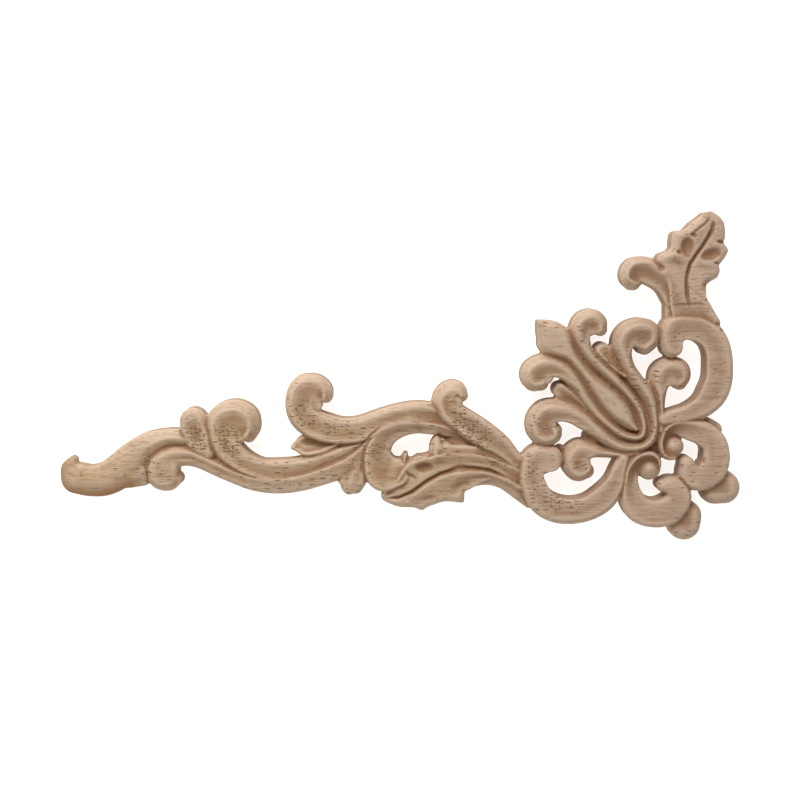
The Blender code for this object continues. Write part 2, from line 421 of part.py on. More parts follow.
def distance_to_line(points, line):
    """Return each point's distance from a plan line and its way along the line to the nearer end."""
    nearest = np.full(len(points), np.inf)
    place = np.zeros(len(points))
    passed = 0.0
    for a, b in zip(line[:-1], line[1:]):
        a, b = np.array(a), np.array(b)
        part = np.clip(((points - a) @ (b - a)) / ((b - a) @ (b - a)), 0, 1)
        away = np.linalg.norm(points - (a + part[:, None] * (b - a)), axis=1)
        length = np.linalg.norm(b - a)
        place = np.where(away < nearest, passed + part * length, place)
        nearest = np.minimum(nearest, away)
        passed += length
    return nearest, np.minimum(place, passed - place)


def press_details(data):
    """Press the cut lines and hollows into the carved face and soften the free edges of the blades."""
    places = np.array([v.co[:] for v in data.vertices])
    top = places[:, 2] > TOP_FACE_ABOVE
    for line, half, depth in CREASES:
        away, to_end = distance_to_line(places[:, :2], line)
        share = np.clip(1 - away / half, 0, 1) * np.clip(CREASE_END_SHARE + to_end / CREASE_TAPER, 0, 1)
        places[:, 2] -= np.where(top, depth * share, 0)
    for outline, height, rims in BLADES:
        for first, last in rims:
            away, to_end = distance_to_line(places[:, :2], outline[first:last + 1])
            near = 1 - np.clip(away / RIM_WIDTH, 0, 1)
            places[:, 2] -= np.where(top, RIM_DROP * near ** 2, 0)
    for x, y, long_half, short_half, turn, depth in HOLLOWS:
        off = places[:, :2] - (x, y)
        c, s = math.cos(math.radians(turn)), math.sin(math.radians(turn))
        lengthwise = (off[:, 0] * c + off[:, 1] * s) / long_half
        crosswise = (off[:, 1] * c - off[:, 0] * s) / short_half
        far = np.hypot(lengthwise, crosswise)
        share = (1 - np.clip(far, 0, 1) ** 2) ** 2
        places[:, 2] -= np.where(top, depth * share, 0)
    data.vertices.foreach_set("co", places.ravel())
    data.update()


def bake(item):
    """Apply the object's modifiers."""
    graph = bpy.context.evaluated_depsgraph_get()
    fresh = bpy.data.meshes.new_from_object(item.evaluated_get(graph))
    item.modifiers.clear()
    item.data = fresh


def cut_back(item):
    """Cut everything below z = 0 away and close the back with flat faces."""
    mesh = bmesh.new()
    mesh.from_mesh(item.data)
    bmesh.ops.triangulate(mesh, faces=mesh.faces)
    bmesh.ops.bisect_plane(mesh, geom=mesh.verts[:] + mesh.edges[:] + mesh.faces[:], dist=MERGE_DISTANCE,
                           plane_co=(0, 0, 0), plane_no=(0, 0, -1), clear_outer=True)
    rim = [e for e in mesh.edges if e.is_boundary]
    bmesh.ops.triangle_fill(mesh, edges=rim, use_beauty=True)
    bmesh.ops.recalc_face_normals(mesh, faces=mesh.faces)
    mesh.to_mesh(item.data)
    mesh.free()


def wood_material():
    """Make the plain pale wood of the part."""
    wood = bpy.data.materials.new("pale_wood")
    wood.use_nodes = True
    shader = wood.node_tree.nodes["Principled BSDF"]
    shader.inputs["Base Color"].default_value = WOOD_COLOUR
    shader.inputs["Roughness"].default_value = WOOD_ROUGHNESS
    wood.diffuse_color = WOOD_COLOUR
    return wood


def build():
    """Build the applique as one closed solid with a flat back at z = 0."""
    for old in list(bpy.data.objects):
        bpy.data.objects.remove(old, do_unlink=True)
    collection = bpy.data.collections.new("carved_wood_applique")
    bpy.context.scene.collection.children.link(collection)
    discs = [strand([(x, y, r), (x + DISC_SHIFT, y, r)], BOTH, height, bevel=DISC_BEVEL, drop=DISC_DROP)
             for x, y, r, height in HEARTS]
    bands = LILY + SCROLLS + ARM + BUDS + LEAVES + ARM_LEAF + discs + BEDS
    made = [blade_mesh(outline, height) for outline, height, rims in BLADES]
    made += [band_mesh(band) for band in bands]
    mesh = bmesh.new()
    for part in made:
        mesh.from_mesh(part)
        bpy.data.meshes.remove(part)
    data = bpy.data.meshes.new("carved_applique")
    mesh.to_mesh(data)
    mesh.free()
    applique = bpy.data.objects.new("carved_applique", data)
    collection.objects.link(applique)
    remesh = applique.modifiers.new("join_bands", "REMESH")
    remesh.mode = "VOXEL"
    remesh.voxel_size = VOXEL
    remesh.adaptivity = 0.0
    bake(applique)
    press_details(applique.data)
    reduce = applique.modifiers.new("fewer_faces", "DECIMATE")
    reduce.ratio = TRIANGLE_TARGET / (2 * len(applique.data.polygons))
    bake(applique)
    cut_back(applique)
    applique.data.transform(Matrix.Scale(MM, 4))
    applique.data.materials.append(wood_material())
    return applique


build()
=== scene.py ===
import math
import bmesh
import bpy
import numpy as np
from mathutils import Matrix, Vector


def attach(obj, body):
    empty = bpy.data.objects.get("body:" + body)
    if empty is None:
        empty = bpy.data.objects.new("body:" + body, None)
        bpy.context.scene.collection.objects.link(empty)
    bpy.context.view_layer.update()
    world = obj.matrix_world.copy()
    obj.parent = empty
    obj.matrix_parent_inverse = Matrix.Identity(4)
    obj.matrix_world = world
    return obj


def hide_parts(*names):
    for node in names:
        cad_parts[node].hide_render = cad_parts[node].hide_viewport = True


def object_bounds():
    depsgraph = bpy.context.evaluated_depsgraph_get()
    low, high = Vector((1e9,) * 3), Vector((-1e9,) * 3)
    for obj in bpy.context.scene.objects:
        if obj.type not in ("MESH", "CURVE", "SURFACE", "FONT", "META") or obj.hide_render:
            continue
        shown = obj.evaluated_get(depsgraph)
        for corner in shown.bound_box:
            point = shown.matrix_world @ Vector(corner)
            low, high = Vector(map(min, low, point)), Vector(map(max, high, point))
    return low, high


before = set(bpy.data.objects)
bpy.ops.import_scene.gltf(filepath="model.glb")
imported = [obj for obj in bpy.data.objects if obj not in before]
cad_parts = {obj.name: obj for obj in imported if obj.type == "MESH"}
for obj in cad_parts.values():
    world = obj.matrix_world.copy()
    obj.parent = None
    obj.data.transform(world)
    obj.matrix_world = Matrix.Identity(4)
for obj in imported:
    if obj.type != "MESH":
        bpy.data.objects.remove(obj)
cadLow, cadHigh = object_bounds()

appliqueValues = {
    "mm": 0.001,             # the plan is drawn in millimetres from the root of the lily
    "stationStep": 0.5,      # mm between the stations of a band
    "curveSteps": 16,        # steps in which the curve between two plan points is measured
    "leastHalf": 0.3,        # mm, no band is narrower than this
    "capRest": 0.06,         # radians kept from the very tip of a round end
    "acrossSteps": 26,       # faces across a band
    "voxel": 0.33,           # mm, size at which the bands grow into one body
    "faceTarget": 188000,    # triangles kept, before the back is cut flat
    "smoothing": 1,          # rounds of softening after the bands are joined
    "softSpotRounds": 45,    # rounds of softening in the soft spots
    "softSpotFade": 2.5,     # how soon they are fully soft, inward from their rim
    "softening": 0.5,        # share that a point moves in one round
    "backAllowance": 2.0,    # mm drawn below the back before it is cut flat
    "mergeDistance": 0.0001,  # mm, points nearer than this are one
    "wallFoot": 0.5,         # mm above the back in which each face keeps its own slope
    "topFaceAbove": 3.0,     # mm, details are pressed only above this height
    "narrowHalf": 1.6,       # mm, a band narrower than this is a plain dome
    "wideHalf": 3.0,         # mm, a band wider than this is fully fluted
    "voluteRun": (9.0, 16.0),  # mm along a band where the volute's flat face ends
    "creaseTaper": 4.0,      # mm over which a cut line runs out at its ends
    "creaseEnd": 0.2,        # share of its depth that is left there
    "rimWidth": 2.0,         # mm, soft edge of the leaf blades
    "rimDrop": 1.4,          # mm that the blade's edge lies lower
    "edgeRounds": 6,         # rounds of softening that the edges are measured against, for the painted highlight on sharp edges and the painted shade in fine creases
    "edgeDepth": 0.22,       # mm between the deepest line and the sharpest edge
    "seamRounds": 60,        # the same for the broad seams and hollows; they carry the painted shade in hollows and the painted highlight on high rims
    "seamDepth": 1.6,
    "grainFade": 1.6,        # how soon the open grain is full, inward from its rim
}

petalCrest = 9.2             # heights of the crest lines, mm
scrollCrest = 8.8
leafCrest = 8.6
armCrest = 8.4
budCrest = 7.2
left, right, both = 1, -1, 0


def strand(path, side, crest, bevel=2.2, drop=3.2, fall=0.9, dish=0.3, inner=0.4, innerDrop=0.5,
           volute=False, domed=True, squared=False):
    # path holds plan points with half widths, side is the high edge; a pair or list changes along the band
    return {"path": path, "side": side, "crest": crest, "bevel": bevel, "drop": drop, "fall": fall,
            "dish": dish, "inner": inner, "innerDrop": innerDrop, "volute": volute, "domed": domed,
            "squared": squared}


rolledPetal = {"fall": 0.6, "dish": 0.15, "volute": "both"}
sideCurl = {"fall": 0.3, "dish": 0.1, "volute": "start"}
fillerBud = {"bevel": 1.0, "fall": 1.6, "domed": False}
bigScroll = {"bevel": 1.5, "drop": 1.8, "fall": 0.15, "dish": 0.1, "inner": 0.45, "innerDrop": 0.35,
             "volute": "start"}
cornerScroll = {"bevel": (0.9, 1.2, 1.1, 1.1, 1.3), "drop": (2.8, 2.8, 1.8, 1.5, 1.8),
                "fall": (2.6, 2.2, 0.5, 0.1, 0.1), "dish": (0.3, 0.3, 0.0, 0.0, 0.0),
                "inner": (0.5, 0.5, 0.9, 0.9, 1.2), "innerDrop": (0.5, 0.5, 0.8, 0.8, 1.4), "domed": False}

lily = [
    strand([(-30.9, 33.0, 0.3), (-29.3, 31.4, 2.5), (-27.6, 29.7, 4.2), (-26.0, 27.6, 5.2),
            (-24.1, 25.8, 4.6), (-21.9, 23.6, 3.1), (-19.9, 21.3, 2.4), (-16.4, 17.0, 2.3),
            (-13.0, 13.2, 3.0), (-9.5, 9.6, 3.7), (-6.3, 6.1, 3.5), (-3.4, 2.9, 2.2),
            (-1.4, 1.0, 0.6)], both, petalCrest, bevel=2.2, squared=True),
    strand([(-12.5, 30.6, 2.1), (-13.2, 32.4, 2.8), (-15.2, 33.6, 3.0), (-17.6, 32.4, 3.1),
            (-18.6, 29.5, 2.9), (-17.8, 26.2, 2.4), (-15.9, 23.0, 2.1), (-12.8, 19.8, 1.9),
            (-9.0, 16.4, 1.8), (-4.9, 12.3, 1.5), (-1.5, 8.0, 1.4), (0.2, 3.5, 1.4),
            (0.2, 0.2, 1.4), (-1.2, -1.1, 1.2), (-3.6, -1.0, 1.2), (-6.5, 0.1, 1.4),
            (-10.0, 2.7, 1.6), (-13.3, 6.0, 1.9), (-16.5, 10.3, 2.1), (-19.0, 14.3, 2.2),
            (-22.0, 17.7, 2.6), (-25.5, 19.6, 3.0), (-29.3, 19.9, 3.3), (-32.1, 17.9, 3.5),
            (-31.9, 15.4, 3.2), (-29.8, 14.7, 2.3)], right, petalCrest, **rolledPetal),
    strand([(0.5, 25.5, 2.5), (2.1, 27.5, 2.8), (1.6, 30.0, 3.2), (-1.2, 30.8, 3.1),
            (-4.2, 29.4, 3.4), (-5.9, 26.5, 3.2), (-5.7, 23.0, 2.4), (-4.4, 19.5, 2.1),
            (-2.2, 16.0, 2.2), (0.4, 12.8, 2.2), (2.3, 9.3, 2.0), (3.3, 5.5, 1.8),
            (3.6, 2.0, 1.8), (2.8, -1.5, 1.7), (0.5, -3.6, 1.6), (-3.0, -4.3, 1.9),
            (-6.5, -3.6, 2.0), (-10.0, -1.6, 2.1), (-13.5, 1.2, 2.4), (-17.0, 3.8, 2.8),
            (-20.5, 5.8, 2.9), (-24.2, 6.7, 3.2), (-28.0, 6.1, 3.6), (-30.3, 3.8, 3.5),
            (-30.3, 0.8, 3.5), (-28.4, -0.8, 3.4), (-26.1, -0.3, 2.9), (-25.6, 0.7, 2.3)],
           right, petalCrest, **rolledPetal),
    strand([(-11.9, 24.4, 2.4), (-9.8, 22.0, 2.3), (-7.4, 19.0, 1.6), (-5.0, 16.6, 0.8)],
           right, budCrest + 0.6, **fillerBud),
    strand([(-24.1, 12.8, 2.3), (-21.4, 10.8, 2.3), (-18.7, 8.9, 1.6), (-16.3, 6.8, 0.8)],
           left, budCrest + 0.6, **fillerBud),
    strand([(11.2, 14.8, 2.2), (11.7, 16.7, 2.8), (10.8, 18.7, 3.2), (8.2, 19.3, 3.1),
            (5.9, 17.6, 3.4), (4.9, 14.4, 2.9), (5.2, 11.0, 2.0), (5.6, 7.5, 1.4),
            (5.8, 4.0, 1.4), (5.4, 0.6, 1.4)], right, scrollCrest - 0.6, **sideCurl),
    strand([(-16.0, -11.4, 2.4), (-18.3, -11.6, 3.1), (-20.0, -9.8, 3.3), (-19.9, -7.2, 3.5),
            (-17.8, -5.2, 3.3), (-14.5, -5.0, 2.5), (-11.0, -5.7, 1.8), (-7.5, -6.2, 1.5),
            (-4.0, -6.3, 1.4), (-1.0, -5.6, 1.3)], left, scrollCrest - 0.6, **sideCurl),
]

scrolls = [
    strand([(8.3, 25.3, 3.0), (8.1, 28.2, 3.5), (9.3, 31.0, 3.9), (12.5, 31.4, 3.9),
            (16.6, 30.7, 4.0), (20.1, 28.1, 3.9), (21.9, 24.3, 3.9), (22.4, 20.0, 4.0),
            (22.2, 15.5, 4.1), (20.7, 11.4, 4.1), (18.0, 8.1, 3.4), (14.0, 5.9, 2.8),
            (10.0, 4.8, 2.5), (6.2, 4.0, 2.2)], left, scrollCrest, **bigScroll),
    strand([(-27.0, -7.5, 3.8), (-30.7, -7.8, 4.1), (-32.6, -11.6, 3.7), (-31.7, -16.0, 3.9),
            (-29.0, -20.4, 4.0), (-25.0, -22.7, 4.0), (-20.3, -23.3, 3.8), (-15.5, -22.4, 3.7),
            (-11.2, -19.7, 3.8), (-7.8, -15.5, 3.2), (-6.3, -11.0, 2.5), (-5.2, -7.5, 2.0)],
           right, scrollCrest, **bigScroll),
    strand([(9.8, -7.1, 1.0), (7.8, -6.8, 1.3), (6.4, -4.9, 1.3), (6.2, -2.2, 1.5),
            (7.5, 0.8, 1.9), (10.3, 1.9, 2.5), (14.0, 1.2, 3.3), (17.7, 0.0, 3.6),
            (21.2, -2.7, 3.7), (22.1, -7.0, 4.0), (20.9, -11.4, 4.0), (17.2, -13.0, 4.2),
            (14.5, -11.8, 3.7), (13.5, -9.0, 2.1)], left, scrollCrest, **cornerScroll),
    strand([(5.3, -9.8, 0.8), (4.6, -7.9, 1.3), (2.3, -6.9, 1.9), (-0.6, -7.9, 2.2),
            (-2.8, -10.8, 2.4), (-3.3, -14.5, 2.6), (-2.8, -18.6, 3.4), (-0.6, -22.4, 4.1),
            (3.8, -24.0, 4.1), (8.4, -23.0, 4.3), (11.1, -19.8, 3.9), (10.6, -16.7, 3.4),
            (8.4, -15.7, 2.8), (6.6, -15.6, 1.9)], right, scrollCrest, **cornerScroll),
]

arm = [
    strand([(-52.9, 11.1, 1.9), (-54.0, 12.5, 2.6), (-56.3, 12.0, 3.5), (-58.1, 9.5, 3.7),
            (-57.0, 6.5, 3.8), (-53.6, 3.9, 3.9), (-49.0, 1.0, 4.0), (-44.9, -1.7, 3.8),
            (-40.9, -4.4, 3.2), (-36.8, -8.6, 2.4)], right, (8.4, 8.4, 8.5, 8.4, 7.8),
           bevel=(3.2, 2.4, 1.3, 1.2, 1.2), drop=(3.0, 3.0, 2.6, 2.0, 1.4),
           inner=(2.4, 1.4, 0.7, 0.8, 0.8), innerDrop=(2.4, 1.2, 0.9, 1.0, 0.9),
           fall=(0.1, 0.2, 0.1, 0.1, 0.1), dish=(0.0, 0.2, 0.5, 0.4, 0.2), domed=False),
    strand([(-92.8, 10.7, 1.9), (-93.5, 12.7, 2.6), (-96.0, 13.6, 3.7), (-99.3, 12.5, 4.5),
            (-100.7, 9.0, 4.3), (-99.8, 5.3, 4.4), (-96.9, 2.7, 4.4), (-93.0, 1.3, 4.3),
            (-88.0, 0.5, 3.9), (-83.0, 1.0, 3.8), (-78.0, 3.1, 3.4), (-73.0, 5.0, 3.1),
            (-67.0, 6.0, 3.2), (-61.5, 5.4, 3.2), (-57.0, 3.0, 2.8)], right, (8.4, 8.4, 8.4, 8.4, 8.2, 6.6),
           bevel=(2.4, 1.9, 0.9, 0.6, 0.6, 0.8), inner=(0.4, 0.5, 1.3, 1.6, 1.6, 1.6),
           innerDrop=(0.5, 0.8, 1.4, 1.5, 1.5, 1.5), fall=(0.8, 0.7, 0.5, 0.3, 0.0, -0.2),
           dish=(0.1, 0.2, 0.3, 0.35, 0.4, 0.4), volute="start", domed=False),
    strand([(-115.7, -1.0, 2.0), (-115.0, 1.4, 2.6), (-116.5, 4.2, 3.9), (-119.9, 5.4, 4.4),
            (-123.2, 3.3, 5.0), (-123.8, -1.0, 4.4), (-121.6, -5.3, 4.2), (-117.6, -8.8, 3.6),
            (-112.5, -11.0, 3.2), (-106.5, -11.4, 3.5), (-100.5, -10.8, 3.4), (-95.0, -9.4, 3.3),
            (-89.8, -7.7, 3.4), (-85.3, -5.5, 2.8), (-81.8, -3.2, 1.8)], right,
           (8.4, 8.4, 8.2, 7.6, 7.0, 6.8), bevel=(3.0, 2.4, 1.1, 0.6, 0.6), inner=(0.4, 0.5, 1.2, 1.5, 1.5),
           innerDrop=(0.5, 0.8, 1.4, 1.5, 1.5), fall=(0.8, 0.7, 0.4, 0.0, -0.4, -0.6),
           dish=(0.1, 0.2, 0.35, 0.4, 0.4), volute="start", domed=False),
    strand([(-137.5, -14.0, 1.9), (-139.5, -14.6, 3.0), (-142.1, -13.2, 3.9),
            (-142.2, -9.8, 4.0), (-139.0, -7.6, 3.6), (-134.5, -6.9, 3.0), (-130.0, -8.1, 2.6),
            (-125.5, -10.4, 2.4), (-120.5, -12.8, 2.2), (-114.5, -14.9, 2.4),
            (-108.0, -15.7, 2.5), (-101.5, -15.1, 2.6), (-95.0, -13.3, 2.7), (-89.0, -11.1, 2.8),
            (-84.6, -8.6, 2.7), (-81.4, -5.4, 2.3), (-79.8, -2.0, 1.5)], left, armCrest - 0.6,
           bevel=(2.6, 1.8, 1.0, 0.7, 0.6, 0.6),
           inner=(2.4, 1.4, 0.8, 1.0, 1.0), innerDrop=(2.2, 1.2, 1.0, 1.4, 1.4),
           fall=(0.1, 0.6, 1.0, 1.0, 1.0), dish=(0.0, 0.2, 0.2, 0.1, 0.1), domed=False),
    strand([(-53.0, -1.3, 1.6), (-58.0, 0.7, 2.0), (-62.5, 1.6, 2.1), (-67.0, 1.8, 2.1),
            (-71.5, 1.0, 2.6), (-75.3, -1.2, 3.2), (-77.6, -5.0, 4.0), (-77.6, -9.5, 4.5),
            (-76.1, -12.9, 4.8), (-72.3, -12.0, 4.4)], right, (6.6, 7.8, 8.2, 8.2, 8.2, 8.2),
           bevel=0.9, fall=1.5, dish=0.2, inner=0.6, innerDrop=0.6, domed=False),
    strand([(-167.2, -13.9, 4.5), (-163.0, -14.6, 4.6),
            (-158.5, -14.0, 5.0), (-154.0, -11.3, 5.3), (-150.0, -7.9, 5.2), (-145.5, -4.1, 4.1),
            (-140.5, -1.8, 2.8), (-135.5, -1.7, 2.6), (-131.0, -2.8, 2.1)],
           both, armCrest - 1.0, bevel=4.2, drop=2.2),
    strand([(-151.6, -12.4, 4.5), (-148.5, -11.4, 5.0)], both, armCrest - 1.5, bevel=3.4),
    strand([(-168.6, -8.6, 1.3), (-168.9, -9.9, 2.6), (-168.4, -11.6, 3.6), (-167.3, -13.7, 4.4)], both,
           armCrest - 1.0, bevel=2.8, drop=1.9),
]

buds = [
    strand([(-132.1, 3.4, 4.0), (-131.6, 0.5, 4.3), (-130.0, -2.8, 4.1), (-128.0, -6.0, 2.4)],
           both, budCrest + 0.3, bevel=1.5, drop=1.8),
    strand([(-102.6, -4.4, 0.9), (-100.8, -4.1, 2.5), (-98.2, -4.0, 3.4), (-94.0, -3.6, 3.0),
            (-89.5, -1.8, 2.2), (-85.0, -1.0, 1.6)], right, budCrest - 0.2, bevel=1.0, drop=2.0, fall=1.2,
           dish=0.6, domed=False),
    strand([(-86.7, -18.5, 0.7), (-86.4, -17.5, 2.4), (-85.8, -16.2, 3.6), (-85.3, -13.8, 4.4),
            (-84.3, -9.5, 3.9), (-82.6, -5.5, 2.4)], both, (6.0, 6.7, 6.9, 6.7, 6.4), bevel=1.5, drop=1.6,
           squared=True),
    strand([(22.6, -17.3, 4.4), (24.9, -16.6, 5.1)], both, budCrest),
    strand([(13.6, -27.4, 5.0), (14.2, -25.3, 4.7)], both, budCrest),
    strand([(-69.5, -6.8, 0.8), (-69.8, -8.6, 1.5)], both, budCrest - 0.9),
    strand([(9.5, -4.1, 3.1), (9.6, -4.1, 3.1)], both, budCrest + 0.5, bevel=3.0, drop=2.2),
    strand([(2.5, -10.7, 3.4), (2.6, -10.7, 3.4)], both, budCrest + 0.5, bevel=3.2, drop=2.2),
    strand([(3.6, -4.6, 2.4), (1.8, -2.6, 2.4)], both, budCrest - 1.6, drop=1.0),
    strand([(20.2, 2.2, 2.0), (22.3, 0.7, 2.2)], both, budCrest - 1.0),
    strand([(-59.4, -3.3, 1.9), (-56.8, -6.2, 3.0)], both, budCrest + 0.3, bevel=1.2, drop=1.2),
]

leaves = [
    strand([(-3.0, 43.9, 2.1), (-4.2, 45.8, 2.7), (-2.9, 48.0, 3.4), (0.2, 47.9, 3.9),
            (3.6, 46.3, 3.8), (6.5, 43.4, 3.1), (8.5, 39.5, 2.7), (10.5, 35.6, 2.4)],
           left, leafCrest - 0.2, bevel=1.9, fall=1.0, domed=False),
    strand([(15.6, 48.0, 2.5), (15.6, 44.0, 2.9), (15.7, 39.5, 2.8), (17.4, 35.4, 3.3),
            (20.2, 32.2, 2.6)], left, leafCrest - 0.6, fall=0.6, bevel=0.8, domed=False),
    strand([(9.6, 33.5, 3.2), (9.8, 37.5, 3.4)], both, leafCrest - 1.4, bevel=0.8, drop=1.0),
]

# closed outlines of the leaf blades, their height and the stretches of their free edge
blades = [
    ([(19.3, 64.7), (21.3, 63.4), (22.7, 61.7), (23.2, 59.4), (23.2, 57.1), (22.8, 55.8),
      (23.6, 54.7), (24.2, 53.4), (23.3, 51.4), (22.1, 49.8), (21.6, 49.1), (21.9, 47.8),
      (21.4, 45.9), (20.4, 45.1), (19.0, 44.3), (18.0, 43.3), (17.7, 41.1), (18.1, 38.7),
      (19.4, 35.8), (21.0, 32.6), (12.5, 31.0), (9.2, 32.6), (7.6, 37.0), (6.6, 44.9),
      (4.6, 48.5), (3.4, 50.6), (4.4, 52.5), (6.1, 53.2), (7.5, 54.0), (7.7, 56.4), (8.0, 58.4), (9.0, 59.2),
      (11.2, 59.4), (12.1, 60.2), (13.4, 61.6), (15.1, 62.8), (16.3, 63.8), (17.5, 64.6)], 8.3,
     ((0, 15), (24, 36))),
    ([(-76.8, -18.6), (-76.0, -20.2), (-73.4, -21.5), (-70.5, -22.3), (-67.0, -22.4), (-65.2, -23.1),
      (-64.2, -23.1), (-62.9, -22.2), (-60.7, -21.4), (-57.9, -20.5), (-54.3, -20.8),
      (-52.3, -20.8), (-52.0, -19.0), (-51.8, -17.6), (-50.0, -16.4), (-46.0, -14.0),
      (-40.0, -12.0), (-40.0, -8.0), (-46.0, -5.0), (-52.0, -3.5), (-57.2, -3.6), (-58.6, -2.6),
      (-59.8, -1.0), (-61.3, -1.7), (-62.4, -4.0),
      (-62.6, -6.0), (-64.3, -6.8), (-66.5, -7.0), (-69.6, -11.0), (-71.1, -13.8), (-74.8, -16.8)], 7.3,
     ((1, 13), (21, 25))),
]

armLeaf = [
    strand([(-71.2, -15.8, 2.6), (-66.8, -12.3, 4.4), (-61.2, -9.4, 3.5), (-55.5, -8.2, 3.1),
            (-49.0, -8.2, 2.8), (-43.0, -9.8, 2.7), (-37.5, -12.2, 2.8)], left, armCrest - 0.3,
           bevel=1.0, fall=0.7, dish=0.5, inner=0.4, domed=False),
    strand([(-66.5, -19.7, 2.2), (-61.5, -17.7, 3.6),
            (-56.5, -15.8, 4.2), (-51.5, -13.7, 3.0), (-46.0, -13.3, 2.3), (-41.0, -14.6, 2.1),
            (-36.4, -17.5, 2.3), (-32.6, -20.6, 2.1)], left, armCrest - 0.3, bevel=0.6,
           fall=(0.8, 0.8, 0.9, 1.3, 1.4, 1.4), dish=0.2, inner=(0.5, 0.5, 1.0, 1.5, 1.6),
           innerDrop=(0.1, 0.1, 0.4, 1.4, 1.6), domed=False),
]

# plan points, half width and depth of the cut lines; a negative depth is a raised line
creases = [
    ([(19.4, 61.2), (19.1, 59.3), (17.9, 57.0), (16.5, 54.7), (14.5, 51.8), (13.0, 49.5), (12.4, 47.2),
      (12.1, 44.9), (12.2, 42.8), (12.4, 40.2), (13.1, 37.6)], 0.75, 1.5),
    ([(18.5, 63.2), (17.2, 61.2), (15.2, 59.6), (13.4, 58.0)], 0.5, 0.5),
    ([(8.1, 37.9), (12.2, 37.9), (16.3, 38.1)], 0.5, 0.35),
    ([(4.9, 51.4), (8.4, 52.2), (10.2, 51.7), (12.5, 50.3)], 1.6, -0.4),
    ([(7.9, 57.9), (10.6, 58.0), (12.6, 57.9), (14.3, 56.7), (15.9, 57.0)], 1.5, -0.35),
    ([(14.5, 50.4), (18.3, 50.1), (21.3, 49.2)], 1.5, -0.35),
    ([(18.3, 56.1), (20.2, 55.3), (22.6, 55.1)], 1.3, -0.35),
    ([(-100.7, -6.4), (-98.3, -6.3), (-94.1, -5.1), (-89.3, -3.2)], 0.8, -0.5),
    ([(-75.2, -19.4), (-71.5, -19.2), (-67.7, -17.5), (-63.0, -14.1), (-59.2, -12.0), (-54.0, -10.4),
      (-49.3, -10.3), (-44.6, -11.0), (-39.8, -13.2)], 0.75, 1.4),
    ([(-69.2, -11.4), (-68.4, -12.3), (-66.5, -13.2)], 0.7, 1.2),
    ([(-73.4, -17.5), (-75.3, -18.5)], 0.9, 1.4),
    ([(-59.4, -1.0), (-57.0, -1.7), (-54.8, -2.4)], 0.9, 1.6),
    ([(-77.2, 1.7), (-80.0, -0.8), (-82.3, -3.2)], 0.6, 0.8),
    ([(-60.2, -5.4), (-56.5, -5.7), (-52.0, -5.8), (-46.6, -7.0), (-41.1, -9.8)], 1.1, 0.3),
    ([(-60.4, -2.2), (-60.2, -4.4), (-60.6, -7.6)], 1.3, -0.5),
    ([(-86.4, -18.0), (-85.2, -13.5), (-82.4, -7.0)], 1.6, -0.3),
]
# place, two radii, turn in degrees and depth of the gouged hollows
hollows = [(11.9, 54.4, 3.6, 2.5, 80, 1.0), (19.0, 52.2, 4.1, 2.3, 12, 1.0),
           (-64.1, -10.1, 3.4, 2.1, 0, 1.2),
           (13.7, 57.9, 1.6, 0.8, -20, 0.9), (9.7, 52.9, 1.2, 0.8, -30, 0.8),
           (21.6, 55.9, 1.6, 0.7, -10, 1.0), (20.6, 49.8, 1.4, 0.5, -10, 0.8),
           (-131.2, 0.4, 4.2, 3.2, -72, 0.45), (-98.0, -2.6, 3.0, 1.4, 0, 0.6),
           (-53.0, -15.6, 4.6, 2.8, 20, 0.4), (-62.0, -19.2, 3.2, 1.6, 10, 0.2)]
# place, radius and height of the discs that fill the volutes
hearts = [(-15.9, 30.6, 2.0, 8.6), (-28.6, 16.6, 2.2, 8.6), (-1.3, 27.6, 2.4, 8.6),
          (-27.4, 2.6, 2.2, 8.6), (8.5, 16.2, 2.4, 7.9), (-17.4, -8.8, 2.4, 7.9),
          (-97.6, 10.0, 3.4, 7.6), (-95.9, 8.2, 1.8, 7.5), (-118.9, 0.4, 3.2, 7.55),
          (-139.8, -11.0, 3.0, 7.7), (-55.6, 8.8, 2.8, 8.1), (-75.0, -8.6, 2.4, 6.6),
          (-2.0, 45.0, 1.9, 7.0), (9.4, 27.6, 2.2, 8.0), (-28.6, -10.0, 2.0, 8.0), (-58.0, -3.2, 2.6, 4.6),
          (-54.5, -4.2, 2.4, 4.6), (-82.0, -1.6, 3.2, 5.8), (-126.6, -5.4, 1.8, 5.4), (-53.6, -2.4, 3.0, 5.6),
          (-57.4, -2.4, 1.6, 5.2), (2.9, -5.4, 1.8, 5.6), (-14.0, -1.8, 1.7, 6.0), (-15.8, -1.1, 1.2, 5.6),
          (-23.6, -5.2, 1.3, 4.6)]
# place and radius of the parts that are rounded over more softly
softSpots = [(-161.0, -12.5, 15.0), (23.8, -17.2, 7.5), (14.2, -26.4, 7.0), (-139.6, -10.6, 5.5),
             (-15.4, -1.3, 3.4), (8.7, -6.3, 2.6), (0.6, -12.2, 2.2), (17.6, -9.6, 2.8),
             (8.6, -18.6, 2.8), (-54.0, -5.6, 5.5)]
